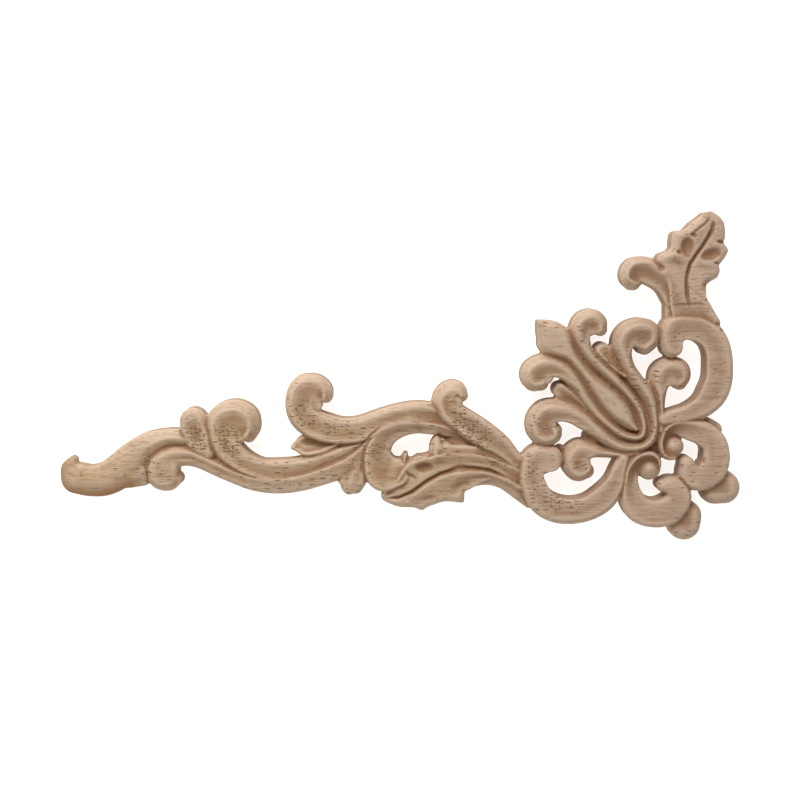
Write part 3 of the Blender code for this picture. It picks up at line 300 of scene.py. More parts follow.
# where the vessels lie open: place, two radii, turn in degrees and amount
openGrain = [(-50.5, 1.0, 12.0, 4.6, -42, 1.0), (-121.6, -2.6, 8.0, 5.4, 110, 0.9),
             (-130.4, -1.4, 6.5, 4.6, 100, 0.8), (-145.5, -9.0, 6.0, 3.6, 70, 0.7),
             (-140.0, -12.0, 5.0, 4.0, 0, 0.35), (-99.0, 6.0, 7.0, 5.2, 100, 0.6),
             (-92.0, 1.2, 10.0, 4.2, -5, 0.5), (-105.0, -15.4, 16.0, 3.0, 0, 0.32),
             (-27.4, 1.6, 3.0, 2.4, 0, 0.8), (-83.0, -9.0, 6.0, 5.0, 0, 0.5),
             (-77.5, -5.0, 5.0, 6.0, 0, 0.45), (-9.5, 21.5, 4.0, 3.0, 45, 0.6),
             (-21.0, 11.0, 4.0, 3.0, 45, 0.6), (-43.5, -8.4, 8.0, 3.0, -20, 0.6),
             (-31.5, 3.0, 3.0, 5.0, 0, 0.6), (-32.0, -13.0, 4.0, 8.0, 0, 0.5),
             (-17.8, -9.6, 3.2, 2.0, 0, 0.9), (-23.0, -21.0, 11.0, 4.6, -10, 0.5),
             (-3.6, 46.0, 2.0, 3.4, 0, 0.5), (8.5, 41.0, 1.2, 6.0, 0, 0.7),
             (-1.5, 28.5, 4.0, 3.0, 0, 0.5), (3.0, 0.0, 2.6, 6.0, 0, 0.5),
             (9.5, 28.5, 3.0, 3.0, 0, 0.5)]
# brown lines left by the cutter: plan points, half width and amount
stains = [([(-170.6, -8.2), (-171.9, -11.0), (-171.8, -14.0), (-170.6, -16.8), (-167.6, -18.6),
            (-161.5, -19.2), (-155.0, -17.4), (-151.0, -16.0)], 3.6, 1.0),
          ([(-168.0, -12.4), (-158.0, -12.8), (-150.0, -13.4)], 0.5, 0.5),
          ([(-137.0, -8.6), (-126.0, -9.6), (-119.0, -12.2)], 0.6, 0.35)]
# rows of marks left by the tool: plan points, half width and amount
chatter = [([(9.0, 51.0), (9.3, 45.0), (9.6, 37.0)], 1.3, 1.0),
           ([(18.6, 46.5), (17.0, 42.0), (17.6, 36.0)], 1.4, 0.8),
           ([(-133.4, 3.0), (-130.0, -3.0)], 4.0, 0.8), ([(-140.5, -13.0), (-137.0, -14.5)], 3.4, 0.5),
           ([(13.0, 46.0), (13.0, 37.0)], 4.0, 0.35), ([(20.6, 60.0), (20.4, 56.0)], 2.4, 0.5),
           ([(-70.0, -20.5), (-57.0, -18.0)], 2.6, 0.6)]
# low ground under the lily
beds = [
    strand([(-20.0, 20.0, 4.6), (-12.0, 11.5, 8.2), (-4.5, 4.0, 6.4)], both, 5.4, bevel=0.5, drop=0.5),
    strand([(-5.0, 19.0, 2.4), (-1.6, 13.0, 3.4), (1.0, 6.0, 3.0), (0.0, 0.0, 3.0)], both, 5.4,
           bevel=0.5, drop=0.5),
]


def smoothPath(path, step):
    pts = np.array(path, float)
    padded = np.vstack([2 * pts[0] - pts[1], pts, 2 * pts[-1] - pts[-2]])
    dense = []
    for k in range(1, len(padded) - 2):
        a, b, c, d = padded[k - 1:k + 3]
        for u in np.linspace(0, 1, appliqueValues["curveSteps"], endpoint=False):
            dense.append(0.5 * (2 * b + (c - a) * u + (2 * a - 5 * b + 4 * c - d) * u ** 2
                                + (3 * b - a - 3 * c + d) * u ** 3))
    dense.append(pts[-1])
    dense = np.array(dense)
    run = np.concatenate([[0], np.cumsum(np.hypot(*np.diff(dense[:, :2], axis=0).T))])
    even = np.linspace(0, run[-1], max(3, int(math.ceil(run[-1] / step)) + 1))
    return np.array([[np.interp(s, run, dense[:, i]) for i in range(3)] for s in even])


def along(value, share):
    # a number, or the value at a share of the band's length
    if isinstance(value, (int, float)):
        return value
    return float(np.interp(share, np.linspace(0, 1, len(value)), value))


def ease(low, high, x):
    t = min(1.0, max(0.0, (x - low) / (high - low)))
    return t * t * (3 - 2 * t)


def stations(band, step):
    # each station is a centre, a direction, a half width, a share of the round end and a place along
    line = smoothPath(band["path"], step)
    ahead = np.gradient(line[:, :2], axis=0)
    ahead /= np.linalg.norm(ahead, axis=1)[:, None]
    run = np.concatenate([[0], np.cumsum(np.linalg.norm(np.diff(line[:, :2], axis=0), axis=1))])
    halves = np.maximum(line[:, 2], appliqueValues["leastHalf"])
    rows = [(line[k, :2], ahead[k], halves[k], 0.0, run[k], run[-1]) for k in range(len(line))]
    if band["squared"]:
        return rows
    for at, sign, where in ((0, -1, "front"), (-1, 1, "back")):
        width = halves[at]
        count = max(3, int(width / step) + 2)
        caps = []
        for angle in np.linspace(0, math.pi / 2, count + 1)[1:]:
            reach = math.sin(min(angle, math.pi / 2 - appliqueValues["capRest"]))
            centre = line[at, :2] + sign * ahead[at] * width * reach
            caps.append((centre, ahead[at], width, reach, run[at], run[-1]))
        rows = caps[::-1] + rows if where == "front" else rows + caps
    return rows


def edgeFall(reach, bevel, drop):
    # a slope of that width and depth, from the edge inward, that grows steeper to the edge
    if reach >= bevel:
        return 0.0
    away = 1 - reach / bevel
    return drop * (0.55 * away + 0.45 * (1 - math.sqrt(max(0.0, 1 - away ** 2))))


def surfaceHeight(band, across, width, cap, run, length):
    share = run / max(length, 0.001)
    crest, drop = along(band["crest"], share), along(band["drop"], share)
    bevel, inner = along(band["bevel"], share), along(band["inner"], share)
    innerDrop, fall, dish = (along(band[k], share) for k in ("innerDrop", "fall", "dish"))
    if band["side"] == both:
        reach = math.sqrt(min(1.0, cap * cap + across * across * (1 - cap * cap)))
        return crest - edgeFall((1 - reach) * width, min(bevel, width), drop)
    low, high = appliqueValues["voluteRun"]
    if band["domed"]:
        narrowHalf, wideHalf = appliqueValues["narrowHalf"], appliqueValues["wideHalf"]
        narrow = min(1.0, max(0.0, (wideHalf - width) / (wideHalf - narrowHalf)))
        if band["volute"] in ("start", "both"):
            narrow *= ease(low, high, run)
        if band["volute"] == "both":
            narrow *= ease(low, high, length - run)
        inner += (bevel - inner) * narrow
        innerDrop += (drop - innerDrop) * narrow
        fall *= 1 - narrow
        dish *= 1 - narrow
    if band["volute"]:
        # the volute's face runs level into its heart
        flat = 1 - ease(low, high, run) if cap == 0 or run < length / 2 else 0.0
        innerDrop *= 1 - 0.8 * flat
    squeeze = min(1.0, 1.9 * width / (bevel + inner))
    bevel, inner = bevel * squeeze, inner * squeeze
    lean = across * band["side"] * math.sqrt(1 - cap * cap)
    first, second = 1 - bevel / width, -1 + inner / width
    q = min(1.0, max(0.0, (first - lean) / max(0.01, first - second)))
    face = crest - fall * q - dish * math.sin(math.pi * q)
    reach = (1 - math.sqrt(min(1.0, cap * cap + lean * lean))) * width
    turn = math.degrees(math.atan2(cap, lean)) if cap > 0 else (0.0 if lean >= 0 else 180.0)
    if cap == 0:
        return face - (edgeFall(reach, bevel, drop) if lean >= 0 else edgeFall(reach, inner, innerDrop))
    mix = 1 - ease(80, 170, turn)
    return face - edgeFall(reach, inner + (bevel - inner) * mix, innerDrop + (drop - innerDrop) * mix)


def addBand(mesh, band):
    # a flat grid is bent over the plan and the height, then drawn down below the back
    rows = stations(band, appliqueValues["stationStep"])
    before = set(mesh.verts)
    bmesh.ops.create_grid(mesh, x_segments=len(rows) - 1, y_segments=appliqueValues["acrossSteps"], size=1)
    new = [v for v in mesh.verts if v not in before]
    for v in new:
        centre, ahead, width, cap, run, length = rows[int(round((v.co.x + 1) / 2 * (len(rows) - 1)))]
        across = v.co.y
        half = width * math.sqrt(1 - cap * cap)
        place = centre + np.array([-ahead[1], ahead[0]]) * half * across
        v.co = Vector((place[0], place[1], surfaceHeight(band, across, width, cap, run, length)))
    made = bmesh.ops.extrude_face_region(mesh, geom=list(mesh.faces))
    for v in [g for g in made["geom"] if isinstance(g, bmesh.types.BMVert)]:
        v.co.z = -appliqueValues["backAllowance"]
    bmesh.ops.reverse_faces(mesh, faces=[g for g in made["geom"] if isinstance(g, bmesh.types.BMFace)])


def distanceToLine(points, line):
    # the distance of each point from a line, and the shorter way along the line to one of its ends
    nearest, place, passed = np.full(len(points), np.inf), np.zeros(len(points)), 0.0
    for a, b in zip(line[:-1], line[1:]):
        a, b = np.array(a), np.array(b)
        part = np.clip(((points - a) @ (b - a)) / ((b - a) @ (b - a)), 0, 1)
        away = np.linalg.norm(points - (a + part[:, None] * (b - a)), axis=1)
        length = np.linalg.norm(b - a)
        place = np.where(away < nearest, passed + part * length, place)
        nearest = np.minimum(nearest, away)
        passed += length
    return nearest, np.minimum(place, passed - place)


def farInOval(points, x, y, longHalf, shortHalf, turn):
    # 0 in the middle of a turned oval and 1 on its rim
    off = points - (x, y)
    c, s = math.cos(math.radians(turn)), math.sin(math.radians(turn))
    return np.hypot((off[:, 0] * c + off[:, 1] * s) / longHalf, (off[:, 1] * c - off[:, 0] * s) / shortHalf)


def pressDetails(data):
    places = np.array([v.co[:] for v in data.vertices])
    top = places[:, 2] > appliqueValues["topFaceAbove"]
    for line, half, depth in creases:
        away, toEnd = distanceToLine(places[:, :2], line)
        taper = appliqueValues["creaseEnd"] + toEnd / appliqueValues["creaseTaper"]
        share = np.clip(1 - away / half, 0, 1) * np.clip(taper, 0, 1)
        places[:, 2] -= np.where(top, depth * share, 0)
    for outline, _, rims in blades:
        for first, last in rims:
            away, _ = distanceToLine(places[:, :2], outline[first:last + 1])
            near = 1 - np.clip(away / appliqueValues["rimWidth"], 0, 1)
            places[:, 2] -= np.where(top, appliqueValues["rimDrop"] * near ** 2, 0)
    for *oval, depth in hollows:
        share = (1 - np.clip(farInOval(places[:, :2], *oval), 0, 1) ** 2) ** 2
        places[:, 2] -= np.where(top, depth * share, 0)
    data.vertices.foreach_set("co", places.ravel())
    data.update()


def addBlade(mesh, outline, height):
    # a flat outline drawn out from below the back to its height
    curve = bpy.data.curves.new("blade", "CURVE")
    curve.dimensions = "2D"
    curve.fill_mode = "BOTH"
    curve.extrude = (height + appliqueValues["backAllowance"]) / 2
    line = smoothPath([(x, y, 0) for x, y in outline + outline[:1]], appliqueValues["stationStep"])[:-1]
    spline = curve.splines.new("POLY")
    spline.points.add(len(line) - 1)
    for point, place in zip(spline.points, line):
        point.co = (place[0], place[1], 0, 1)
    spline.use_cyclic_u = True
    item = bpy.data.objects.new("blade", curve)
    bpy.context.scene.collection.objects.link(item)
    graph = bpy.context.evaluated_depsgraph_get()
    made = bpy.data.meshes.new_from_object(item.evaluated_get(graph))
    made.transform(Matrix.Translation((0, 0, (height - appliqueValues["backAllowance"]) / 2)))
    piece = bmesh.new()
    piece.from_mesh(made)
    bmesh.ops.remove_doubles(piece, verts=piece.verts, dist=appliqueValues["mergeDistance"])
    bmesh.ops.recalc_face_normals(piece, faces=piece.faces)
    piece.to_mesh(made)
    piece.free()
    mesh.from_mesh(made)
    bpy.data.objects.remove(item)
    bpy.data.curves.remove(curve)
    bpy.data.meshes.remove(made)


def addSoftSpots(item):
    group = item.vertex_groups.new(name="softSpots")
    for vertex in item.data.vertices:
        if vertex.co.z < appliqueValues["topFaceAbove"]:
            continue
        for x, y, radius in softSpots:
            away = math.hypot(vertex.co.x - x, vertex.co.y - y)
            if away < radius:
                group.add([vertex.index], min(1.0, appliqueValues["softSpotFade"] * (1 - away / radius)),
                          "REPLACE")
    soften = item.modifiers.new("softSpots", "SMOOTH")
    soften.vertex_group = "softSpots"
    soften.factor = appliqueValues["softening"]
    soften.iterations = appliqueValues["softSpotRounds"]


def bake(item):
    graph = bpy.context.evaluated_depsgraph_get()
    fresh = bpy.data.meshes.new_from_object(item.evaluated_get(graph))
    item.modifiers.clear()
    item.data = fresh


def dropSpecks(mesh):
    # the voxel joining leaves tiny closed pockets inside, so only the largest body stays
    left, bodies = set(mesh.verts), []
    while left:
        first = left.pop()
        body, waiting = [first], [first]
        while waiting:
            for edge in waiting.pop().link_edges:
                for vertex in edge.verts:
                    if vertex in left:
                        left.remove(vertex)
                        body.append(vertex)
                        waiting.append(vertex)
        bodies.append(body)
    bodies.sort(key=len)
    bmesh.ops.delete(mesh, geom=[v for body in bodies[:-1] for v in body], context="VERTS")


def cutBack(item):
    mesh = bmesh.new()
    mesh.from_mesh(item.data)
    dropSpecks(mesh)
    bmesh.ops.triangulate(mesh, faces=mesh.faces)
    bmesh.ops.bisect_plane(mesh, geom=mesh.verts[:] + mesh.edges[:] + mesh.faces[:],
                           dist=appliqueValues["mergeDistance"], plane_co=(0, 0, 0), plane_no=(0, 0, -1),
                           clear_outer=True)
    rim = [e for e in mesh.edges if e.is_boundary]
    bmesh.ops.triangle_fill(mesh, edges=rim, use_beauty=True)
    bmesh.ops.recalc_face_normals(mesh, faces=mesh.faces)
    for face in mesh.faces:
        face.smooth = True
    for edge in mesh.edges:
        # the rim of the back stays sharp
        edge.smooth = max(abs(v.co.z) for v in edge.verts) > 10 * appliqueValues["mergeDistance"]
    mesh.to_mesh(item.data)
    mesh.free()


def keepInBox(data):
    # the carved body stays inside the box of the CAD model
    places = np.array([v.co[:] for v in data.vertices])
    for k in range(3):
        for limit, reach in ((cadHigh[k], places[:, k].max()), (cadLow[k], places[:, k].min())):
            side = places[:, k] * limit > 0  # each side is scaled in, so that no faces are flattened
            if side.any():
                places[side, k] *= min(1.0, limit / reach)
    data.vertices.foreach_set("co", places.ravel())
    data.update()


def softened(places, ends, degree, rounds):
    soft = places.copy()
    for _ in range(rounds):
        total = np.zeros_like(soft)
        for k in range(3):
            total[:, k] = (np.bincount(ends[:, 0], soft[ends[:, 1], k], len(soft))
                           + np.bincount(ends[:, 1], soft[ends[:, 0], k], len(soft)))
        soft = total / degree
    return soft


def writeAttribute(data, name, values):
    layer = data.attributes.new(name, "FLOAT", "POINT")
    layer.data.foreach_set("value", np.clip(values, 0, 1))


def writeWall(data, places, normals):
    # how upright the surface is; on the rim of the back each face keeps its own value; it carries the painted
    # shade on the upright walls
    corners, totals = np.empty(len(data.loops), int), np.empty(len(data.polygons), int)
    faceNormals = np.empty(len(data.polygons) * 3)
    data.loops.foreach_get("vertex_index", corners)
    data.polygons.foreach_get("loop_total", totals)
    data.polygons.foreach_get("normal", faceNormals)
    faceUp = np.abs(faceNormals.reshape(-1, 3)[:, 2])[np.repeat(np.arange(len(totals)), totals)]
    low = places[corners, 2] < appliqueValues["wallFoot"]
    upright = 1 - np.where(low, faceUp, np.abs(normals[corners, 2]))
    layer = data.attributes.new("wall", "FLOAT", "CORNER")
    layer.data.foreach_set("value", upright)


def writePaintedLightAndWoodMasks(data):
    # how far the surface lies below (above 0.5) or above (below 0.5) its own softened form; these masks carry
    # the painted shade in hollows, creases and on the walls and the painted highlights on rims and edges,
    # beside the real open grain, stains and tool marks
    count = len(data.vertices)
    places, normals = np.empty(count * 3), np.empty(count * 3)
    ends = np.empty(len(data.edges) * 2, int)
    data.vertices.foreach_get("co", places)
    data.vertices.foreach_get("normal", normals)
    data.edges.foreach_get("vertices", ends)
    places = places.reshape(-1, 3) / appliqueValues["mm"]
    normals, ends = normals.reshape(-1, 3), ends.reshape(-1, 2)
    degree = np.bincount(ends.ravel(), minlength=count)[:, None]
    for name in ("edge", "seam"):
        soft = softened(places, ends, degree, appliqueValues[name + "Rounds"])
        depth = ((soft - places) * normals).sum(1)
        writeAttribute(data, name, 0.5 + depth / appliqueValues[name + "Depth"])
    writeWall(data, places, normals)
    dense = np.zeros(count)
    for *oval, amount in openGrain:
        far = farInOval(places[:, :2], *oval)
        dense = np.maximum(dense, amount * np.clip(appliqueValues["grainFade"] * (1 - far), 0, 1))
    writeAttribute(data, "openGrain", dense)
    for name, lines in (("stain", stains), ("chatter", chatter)):
        share = np.zeros(count)
        for line, half, amount in lines:
            away, _ = distanceToLine(places[:, :2], line)
            share = np.maximum(share, amount * np.clip(1 - away / half, 0, 1))
        writeAttribute(data, name, share)


def buildApplique():
    mesh = bmesh.new()
    filled = [strand([(x, y, r), (x + 0.1, y, r)], both, height, bevel=0.8, drop=0.5)
              for x, y, r, height in hearts]
    for outline, height, _ in blades:
        addBlade(mesh, outline, height)
    for band in lily + scrolls + arm + buds + leaves + armLeaf + filled + beds:
        piece = bmesh.new()
        addBand(piece, band)
        bmesh.ops.recalc_face_normals(piece, faces=piece.faces)
        part = bpy.data.meshes.new("band")
        piece.to_mesh(part)
        mesh.from_mesh(part)
        piece.free()
        bpy.data.meshes.remove(part)
    data = bpy.data.meshes.new("carvedWood")
    mesh.to_mesh(data)
    mesh.free()
    applique = bpy.data.objects.new("carvedWood", data)
    bpy.context.scene.collection.objects.link(applique)
    remesh = applique.modifiers.new("joinBands", "REMESH")
    remesh.mode = "VOXEL"
    remesh.voxel_size = appliqueValues["voxel"]
    bake(applique)
    pressDetails(applique.data)
    addSoftSpots(applique)
    soften = applique.modifiers.new("soften", "SMOOTH")
    soften.factor = appliqueValues["softening"]
    soften.iterations = appliqueValues["smoothing"]
    reduce = applique.modifiers.new("fewerFaces", "DECIMATE")
    reduce.ratio = min(1.0, appliqueValues["faceTarget"] / (2 * len(applique.data.polygons)))
    bake(applique)
    applique.vertex_groups.clear()
    cutBack(applique)
    applique.data.transform(Matrix.Scale(appliqueValues["mm"], 4))
    keepInBox(applique.data)
    writePaintedLightAndWoodMasks(applique.data)
    return applique


woodValues = {
    "pinkTone": (0.63, 0.425, 0.28, 1.0),
    "creamTone": (0.615, 0.45, 0.26, 1.0),
    "brownTone": (0.36, 0.215, 0.12, 1.0),
    # painted shade: the dark tone laid into broad hollows, fine creases and the tool marks
    "hollowShadeTone": (0.30, 0.155, 0.075, 1.0),
    # painted shade: darker tone on the upright walls
    "wallShadeTone": (0.36, 0.22, 0.13, 1.0),
    # painted highlight: pale tone on sharp raised edges
    "edgeHighlightTone": (0.78, 0.62, 0.47, 1.0),
    "stainTone": (0.42, 0.21, 0.08, 1.0),
    "duskTone": (0.42, 0.27, 0.18, 1.0),    # darker towards the corner, along +X
    "poreTone": (0.19, 0.10, 0.05, 1.0),
    "rimHighlightTone": (0.74, 0.57, 0.44, 1.0),     # painted highlight: pale tone on the high, rounded rims
    "speckGlintTone": (0.85, 0.72, 0.58, 1.0),   # painted glints: pale specks beside the pores
    "roughness": (0.47, 0.65),  # from the smoothest to the roughest fibre
    "poreRoughness": 0.2,    # added inside the pores
    "specular": 0.45,
    "poreDepth": 0.5,        # strength of the pores in the bump
    "poreReach": 0.0004,     # m that they are deep
    "fibreDepth": 0.2,       # strength of the fibres in the bump
    "fibreReach": 0.0003,    # m
    "grainTurn": -2.0,       # degrees between the grain and the long side
    "poreShare": 0.78,       # how much the pores hide the tone below them
    "markShare": 0.8,        # the same for the marks of the tool
    "speckShare": 0.5,
    "dash": ((3.4, 0.8, 0.8), 0.34),  # long pores: mm of wood to each, and radius as a share of that
    "dot": ((1.2, 0.7, 0.7), 0.4),
    "speck": ((1.1, 0.7, 0.7), 0.36),
    "speckTurn": 9.0,        # degrees, so that the specks lie beside the pores and not on them
}
# scale along and across the grain, detail and roughness of each noise
grainLayers = {
    "broad": ((22, 95, 95), 3.0, 0.55),
    "patches": ((45, 80, 80), 2.0, 0.5),
    "streaks": ((60, 800, 800), 3.0, 0.65),
    "lines": ((110, 1900, 1900), 1.0, 0.5),
    "fibres": ((220, 3600, 3600), 2.0, 0.6),
    "ticks": ((600, 1900, 420), 1.0, 0.5),
}
# what a tone follows, the values where it starts and where it is full, its full share, and the tone
toneSteps = [
    ("side", -0.085, 0.0, 1.0, "duskTone"),
    # painted highlight on the high rims
    ("seam", 0.45, 0.2, 0.45, "rimHighlightTone"),
    ("streaks", 0.45, 0.75, 0.5, "brownTone"),
    ("lines", 0.56, 0.68, 0.65, "brownTone"),
    ("fibres", 0.48, 0.62, 0.42, "brownTone"),
    # painted shade in broad hollows and in fine creases
    ("seam", 0.55, 0.9, 0.85, "hollowShadeTone"),
    ("edge", 0.53, 0.8, 0.75, "hollowShadeTone"),
    # painted highlight on sharp raised edges
    ("edge", 0.44, 0.1, 0.35, "edgeHighlightTone"),
    # painted shade on the upright walls
    ("wall", 0.84, 0.98, 0.65, "wallShadeTone"),
    ("stain", 0.0, 1.0, 1.0, "stainTone"),
]


def addNode(tree, kind, values=None, settings=None):
    node = tree.nodes.new(kind)
    for name, value in (settings or {}).items():
        setattr(node, name, value)
    for name, value in (values or {}).items():
        node.inputs[name].default_value = value
    return node


def grainCoordinates(tree, source, stretch, turn):
    # millimetre coordinates, drawn out along the grain
    node = addNode(tree, "ShaderNodeMapping")
    node.inputs["Rotation"].default_value = (0, 0, math.radians(turn))
    node.inputs["Scale"].default_value = stretch
    tree.links.new(source, node.inputs["Vector"])
    return node.outputs["Vector"]


def noiseLayer(tree, vector, detail, roughness):
    node = addNode(tree, "ShaderNodeTexNoise", {"Scale": 1.0, "Detail": detail, "Roughness": roughness})
    tree.links.new(vector, node.inputs["Vector"])
    return node.outputs["Fac"]


def remap(tree, source, low, high, to=(0.0, 1.0)):
    ends = {"From Min": low, "From Max": high, "To Min": to[0], "To Max": to[1]}
    node = addNode(tree, "ShaderNodeMapRange", ends)
    tree.links.new(source, node.inputs["Value"])
    return node.outputs["Result"]


def combine(tree, operation, first, second):
    node = addNode(tree, "ShaderNodeMath", settings={"operation": operation})
    for socket, value in zip(node.inputs, (first, second)):
        if isinstance(value, (int, float)):
            socket.default_value = value
        else:
            tree.links.new(value, socket)
    return node.outputs["Value"]


def mixColours(tree, share, first, second):
    node = addNode(tree, "ShaderNodeMix", settings={"data_type": "RGBA"})
    for name, kind, value in (("Factor", "VALUE", share), ("A", "RGBA", first), ("B", "RGBA", second)):
        socket = [s for s in node.inputs if s.name == name and s.type == kind][0]
        if isinstance(value, (int, float, tuple)):
            socket.default_value = value
        else:
            tree.links.new(value, socket)
    return [s for s in node.outputs if s.type == "RGBA"][0]


def poreLayer(tree, source, pore, turn, amount):
    # short vessels: stretched cells, each with its own size
    cell, radius = pore
    vector = grainCoordinates(tree, source, tuple(1 / (c * appliqueValues["mm"]) for c in cell), turn)
    near = addNode(tree, "ShaderNodeTexVoronoi", {"Scale": 1.0, "Randomness": 1.0},
                   {"voronoi_dimensions": "2D"})
    tree.links.new(vector, near.inputs["Vector"])
    pick = addNode(tree, "ShaderNodeSeparateColor")
    tree.links.new(near.outputs["Color"], pick.inputs["Color"])
    size = remap(tree, combine(tree, "MULTIPLY", pick.outputs["Red"], amount), 0.2, 0.8, (0.0, radius))
    inside = combine(tree, "SUBTRACT", size, near.outputs["Distance"])
    return remap(tree, inside, 0.0, radius * 0.4)


def readAttribute(tree, name, low, high, to=(0.0, 1.0)):
    source = addNode(tree, "ShaderNodeAttribute", settings={"attribute_name": name}).outputs["Fac"]
    return remap(tree, source, low, high, to)


def weighted(tree, first, second, factors):
    # the sum of two sources, each with its own factor
    return combine(tree, "ADD", combine(tree, "MULTIPLY", first, factors[0]),
                   combine(tree, "MULTIPLY", second, factors[1]))


def makeWood():
    wood = bpy.data.materials.new("paleWood")
    wood.use_nodes = True
    tree = wood.node_tree
    shader = tree.nodes["Principled BSDF"]
    turn = woodValues["grainTurn"]
    place = addNode(tree, "ShaderNodeTexCoord").outputs["Object"]
    side = addNode(tree, "ShaderNodeSeparateXYZ")
    tree.links.new(place, side.inputs["Vector"])
    layers = {name: noiseLayer(tree, grainCoordinates(tree, place, scale, turn), detail, roughness)
              for name, (scale, detail, roughness) in grainLayers.items()}
    layers["side"] = side.outputs["X"]

    openness = readAttribute(tree, "openGrain", 0.0, 1.0)
    patch = remap(tree, layers["patches"], 0.35, 0.7, (0.4, 1.1))
    dashes = poreLayer(tree, place, woodValues["dash"], turn, weighted(tree, patch, openness, (0.8, 0.3)))
    dots = poreLayer(tree, place, woodValues["dot"], turn, weighted(tree, patch, openness, (0.3, 1.3)))
    # painted glints: pale specks beside the pores, kept off the walls
    glintSpecks = poreLayer(tree, place, woodValues["speck"], turn + woodValues["speckTurn"], openness)
    flat = readAttribute(tree, "wall", 0.85, 0.6)
    pores = combine(tree, "MULTIPLY", combine(tree, "MAXIMUM", dashes, dots), flat)
    glintSpecks = combine(tree, "MULTIPLY", glintSpecks, flat)
    chatterHere = readAttribute(tree, "chatter", 0.0, 1.0)
    marks = combine(tree, "MULTIPLY", remap(tree, layers["ticks"], 0.5, 0.6), chatterHere)

    patchwork = remap(tree, layers["broad"], 0.36, 0.64)
    tone = mixColours(tree, patchwork, woodValues["pinkTone"], woodValues["creamTone"])
    for source, start, full, share, name in toneSteps:
        if source in layers:
            amount = remap(tree, layers[source], start, full, (0.0, share))
        else:
            amount = readAttribute(tree, source, start, full, (0.0, share))
        tone = mixColours(tree, amount, tone, woodValues[name])
    # the tool marks are real, and darkening them with the hollow tone is painted shade in their small grooves
    for cover, share, name in ((marks, "markShare", "hollowShadeTone"), (glintSpecks, "speckShare", "speckGlintTone"),
                               (pores, "poreShare", "poreTone")):
        tone = mixColours(tree, combine(tree, "MULTIPLY", cover, woodValues[share]), tone, woodValues[name])
    tree.links.new(tone, shader.inputs["Base Color"])

    rough = remap(tree, layers["fibres"], 0.3, 0.7, woodValues["roughness"])
    poreRough = combine(tree, "MULTIPLY", pores, woodValues["poreRoughness"])
    tree.links.new(combine(tree, "ADD", rough, poreRough), shader.inputs["Roughness"])
    shader.inputs["Specular IOR Level"].default_value = woodValues["specular"]
    fine = addNode(tree, "ShaderNodeBump",
                   {"Strength": woodValues["fibreDepth"], "Distance": woodValues["fibreReach"]})
    tree.links.new(layers["fibres"], fine.inputs["Height"])
    deep = addNode(tree, "ShaderNodeBump",
                   {"Strength": woodValues["poreDepth"], "Distance": woodValues["poreReach"]},
                   {"invert": True})
    tree.links.new(combine(tree, "MAXIMUM", pores, marks), deep.inputs["Height"])
    tree.links.new(fine.outputs["Normal"], deep.inputs["Normal"])
    tree.links.new(deep.outputs["Normal"], shader.inputs["Normal"])
    return wood


applique = buildApplique()
applique.data.materials.clear()
applique.data.materials.append(makeWood())
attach(applique, "root")
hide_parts("carved_applique")
print("carved wood:", len(applique.data.polygons), "triangles")

stageValues = {
    "middle": (-0.07, 0.015, 0.0),         # m, where the lights point and the floor lies
    "floorSize": 12.0,                     # m
    "floorGap": 0.0003,                    # m between the floor and the back of the piece
    "floorColour": (0.9, 0.9, 0.9, 1.0),
    "floorRoughness": 0.9,
    "floorSpecular": 0.1,
    "floorGlow": 0.75,                     # lifts the pale floor to white round the piece
    "worldColour": (1.0, 0.99, 0.98, 1.0),
    "worldStrength": 0.26,
    "keyPower": 12.6,                      # W
    "keySize": 0.6,                        # m
    "keyPlace": (-0.40, 0.95, 0.75),
    "keyColour": (1.0, 0.96, 0.93),
    "fillPower": 2.6,
    "fillSize": 0.8,
    "fillPlace": (0.0, -0.8, 0.9),
    "fillColour": (1.0, 0.95, 0.86),
}


def addArea(name, place, size, power, colour):
    data = bpy.data.lights.new(name, "AREA")
    data.size = size
    data.energy = power
    data.color = colour
    lamp = bpy.data.objects.new(name, data)
    bpy.context.scene.collection.objects.link(lamp)
    lamp.location = place
    aim = Vector(stageValues["middle"]) - Vector(place)
    lamp.rotation_euler = aim.to_track_quat("-Z", "Y").to_euler()


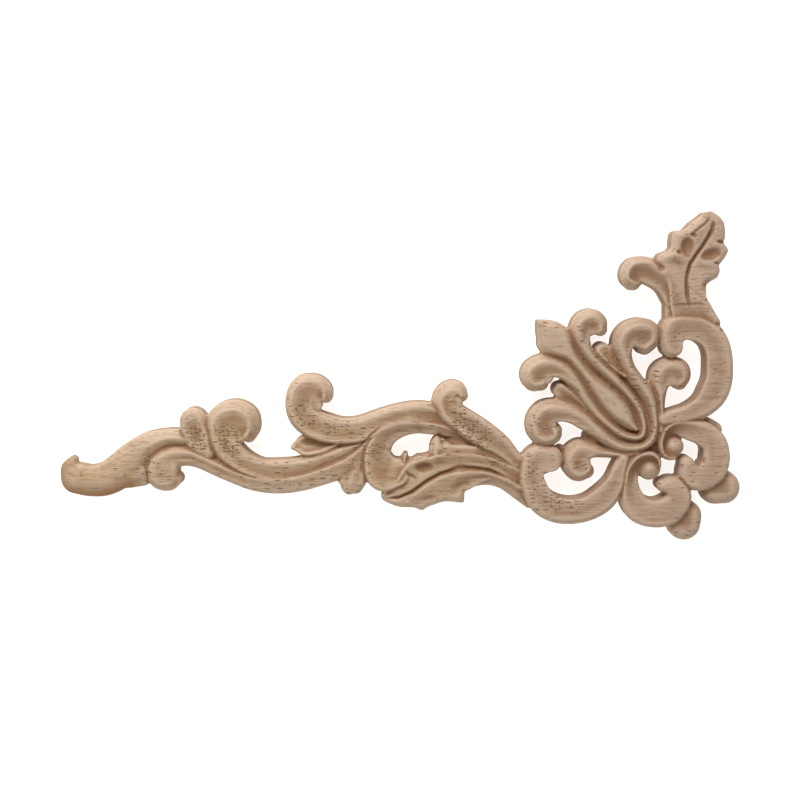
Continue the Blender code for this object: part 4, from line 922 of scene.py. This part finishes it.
def setStage():
    ground = bmesh.new()
    bmesh.ops.create_grid(ground, x_segments=1, y_segments=1, size=stageValues["floorSize"] / 2)
    data = bpy.data.meshes.new("floor")
    ground.to_mesh(data)
    ground.free()
    floor = bpy.data.objects.new("floor", data)
    bpy.context.scene.collection.objects.link(floor)
    floor.location = Vector(stageValues["middle"]) - Vector((0, 0, stageValues["floorGap"]))
    floor.visible_glossy = False   # no mirror light from the floor on the walls of the piece
    paint = bpy.data.materials.new("floorPaint")
    paint.use_nodes = True
    shader = paint.node_tree.nodes["Principled BSDF"]
    shader.inputs["Base Color"].default_value = stageValues["floorColour"]
    shader.inputs["Roughness"].default_value = stageValues["floorRoughness"]
    shader.inputs["Specular IOR Level"].default_value = stageValues["floorSpecular"]
    shader.inputs["Emission Color"].default_value = (1.0, 1.0, 1.0, 1.0)
    shader.inputs["Emission Strength"].default_value = stageValues["floorGlow"]
    data.materials.append(paint)
    world = bpy.data.worlds.new("studio")
    bpy.context.scene.world = world
    world.use_nodes = True
    sky = world.node_tree.nodes["Background"]
    sky.inputs["Color"].default_value = stageValues["worldColour"]
    sky.inputs["Strength"].default_value = stageValues["worldStrength"]
    for name in ("key", "fill"):
        addArea(name, *(stageValues[name + k] for k in ("Place", "Size", "Power", "Colour")))


setStage()
print("stage and lights: done")

cameraValues = {
    "place": (-0.07110, 0.04806, 0.3970),  # m, worked out from the photograph
    "tilt": -5.6,                          # degrees from straight down
    "lens": 60.12,                         # mm
    "sensor": 36.0,                        # mm
    "nearest": 0.01,                       # m, nothing nearer than this is drawn
}


def addCamera():
    data = bpy.data.cameras.new("photoCamera")
    data.lens = cameraValues["lens"]
    data.sensor_width = cameraValues["sensor"]
    data.clip_start = cameraValues["nearest"]
    camera = bpy.data.objects.new("photoCamera", data)
    bpy.context.scene.collection.objects.link(camera)
    camera.location = cameraValues["place"]
    camera.rotation_euler = (math.radians(cameraValues["tilt"]), 0, 0)
    bpy.context.scene.camera = camera


addCamera()
bpy.context.scene.view_settings.view_transform = "Standard"
print("camera: done")
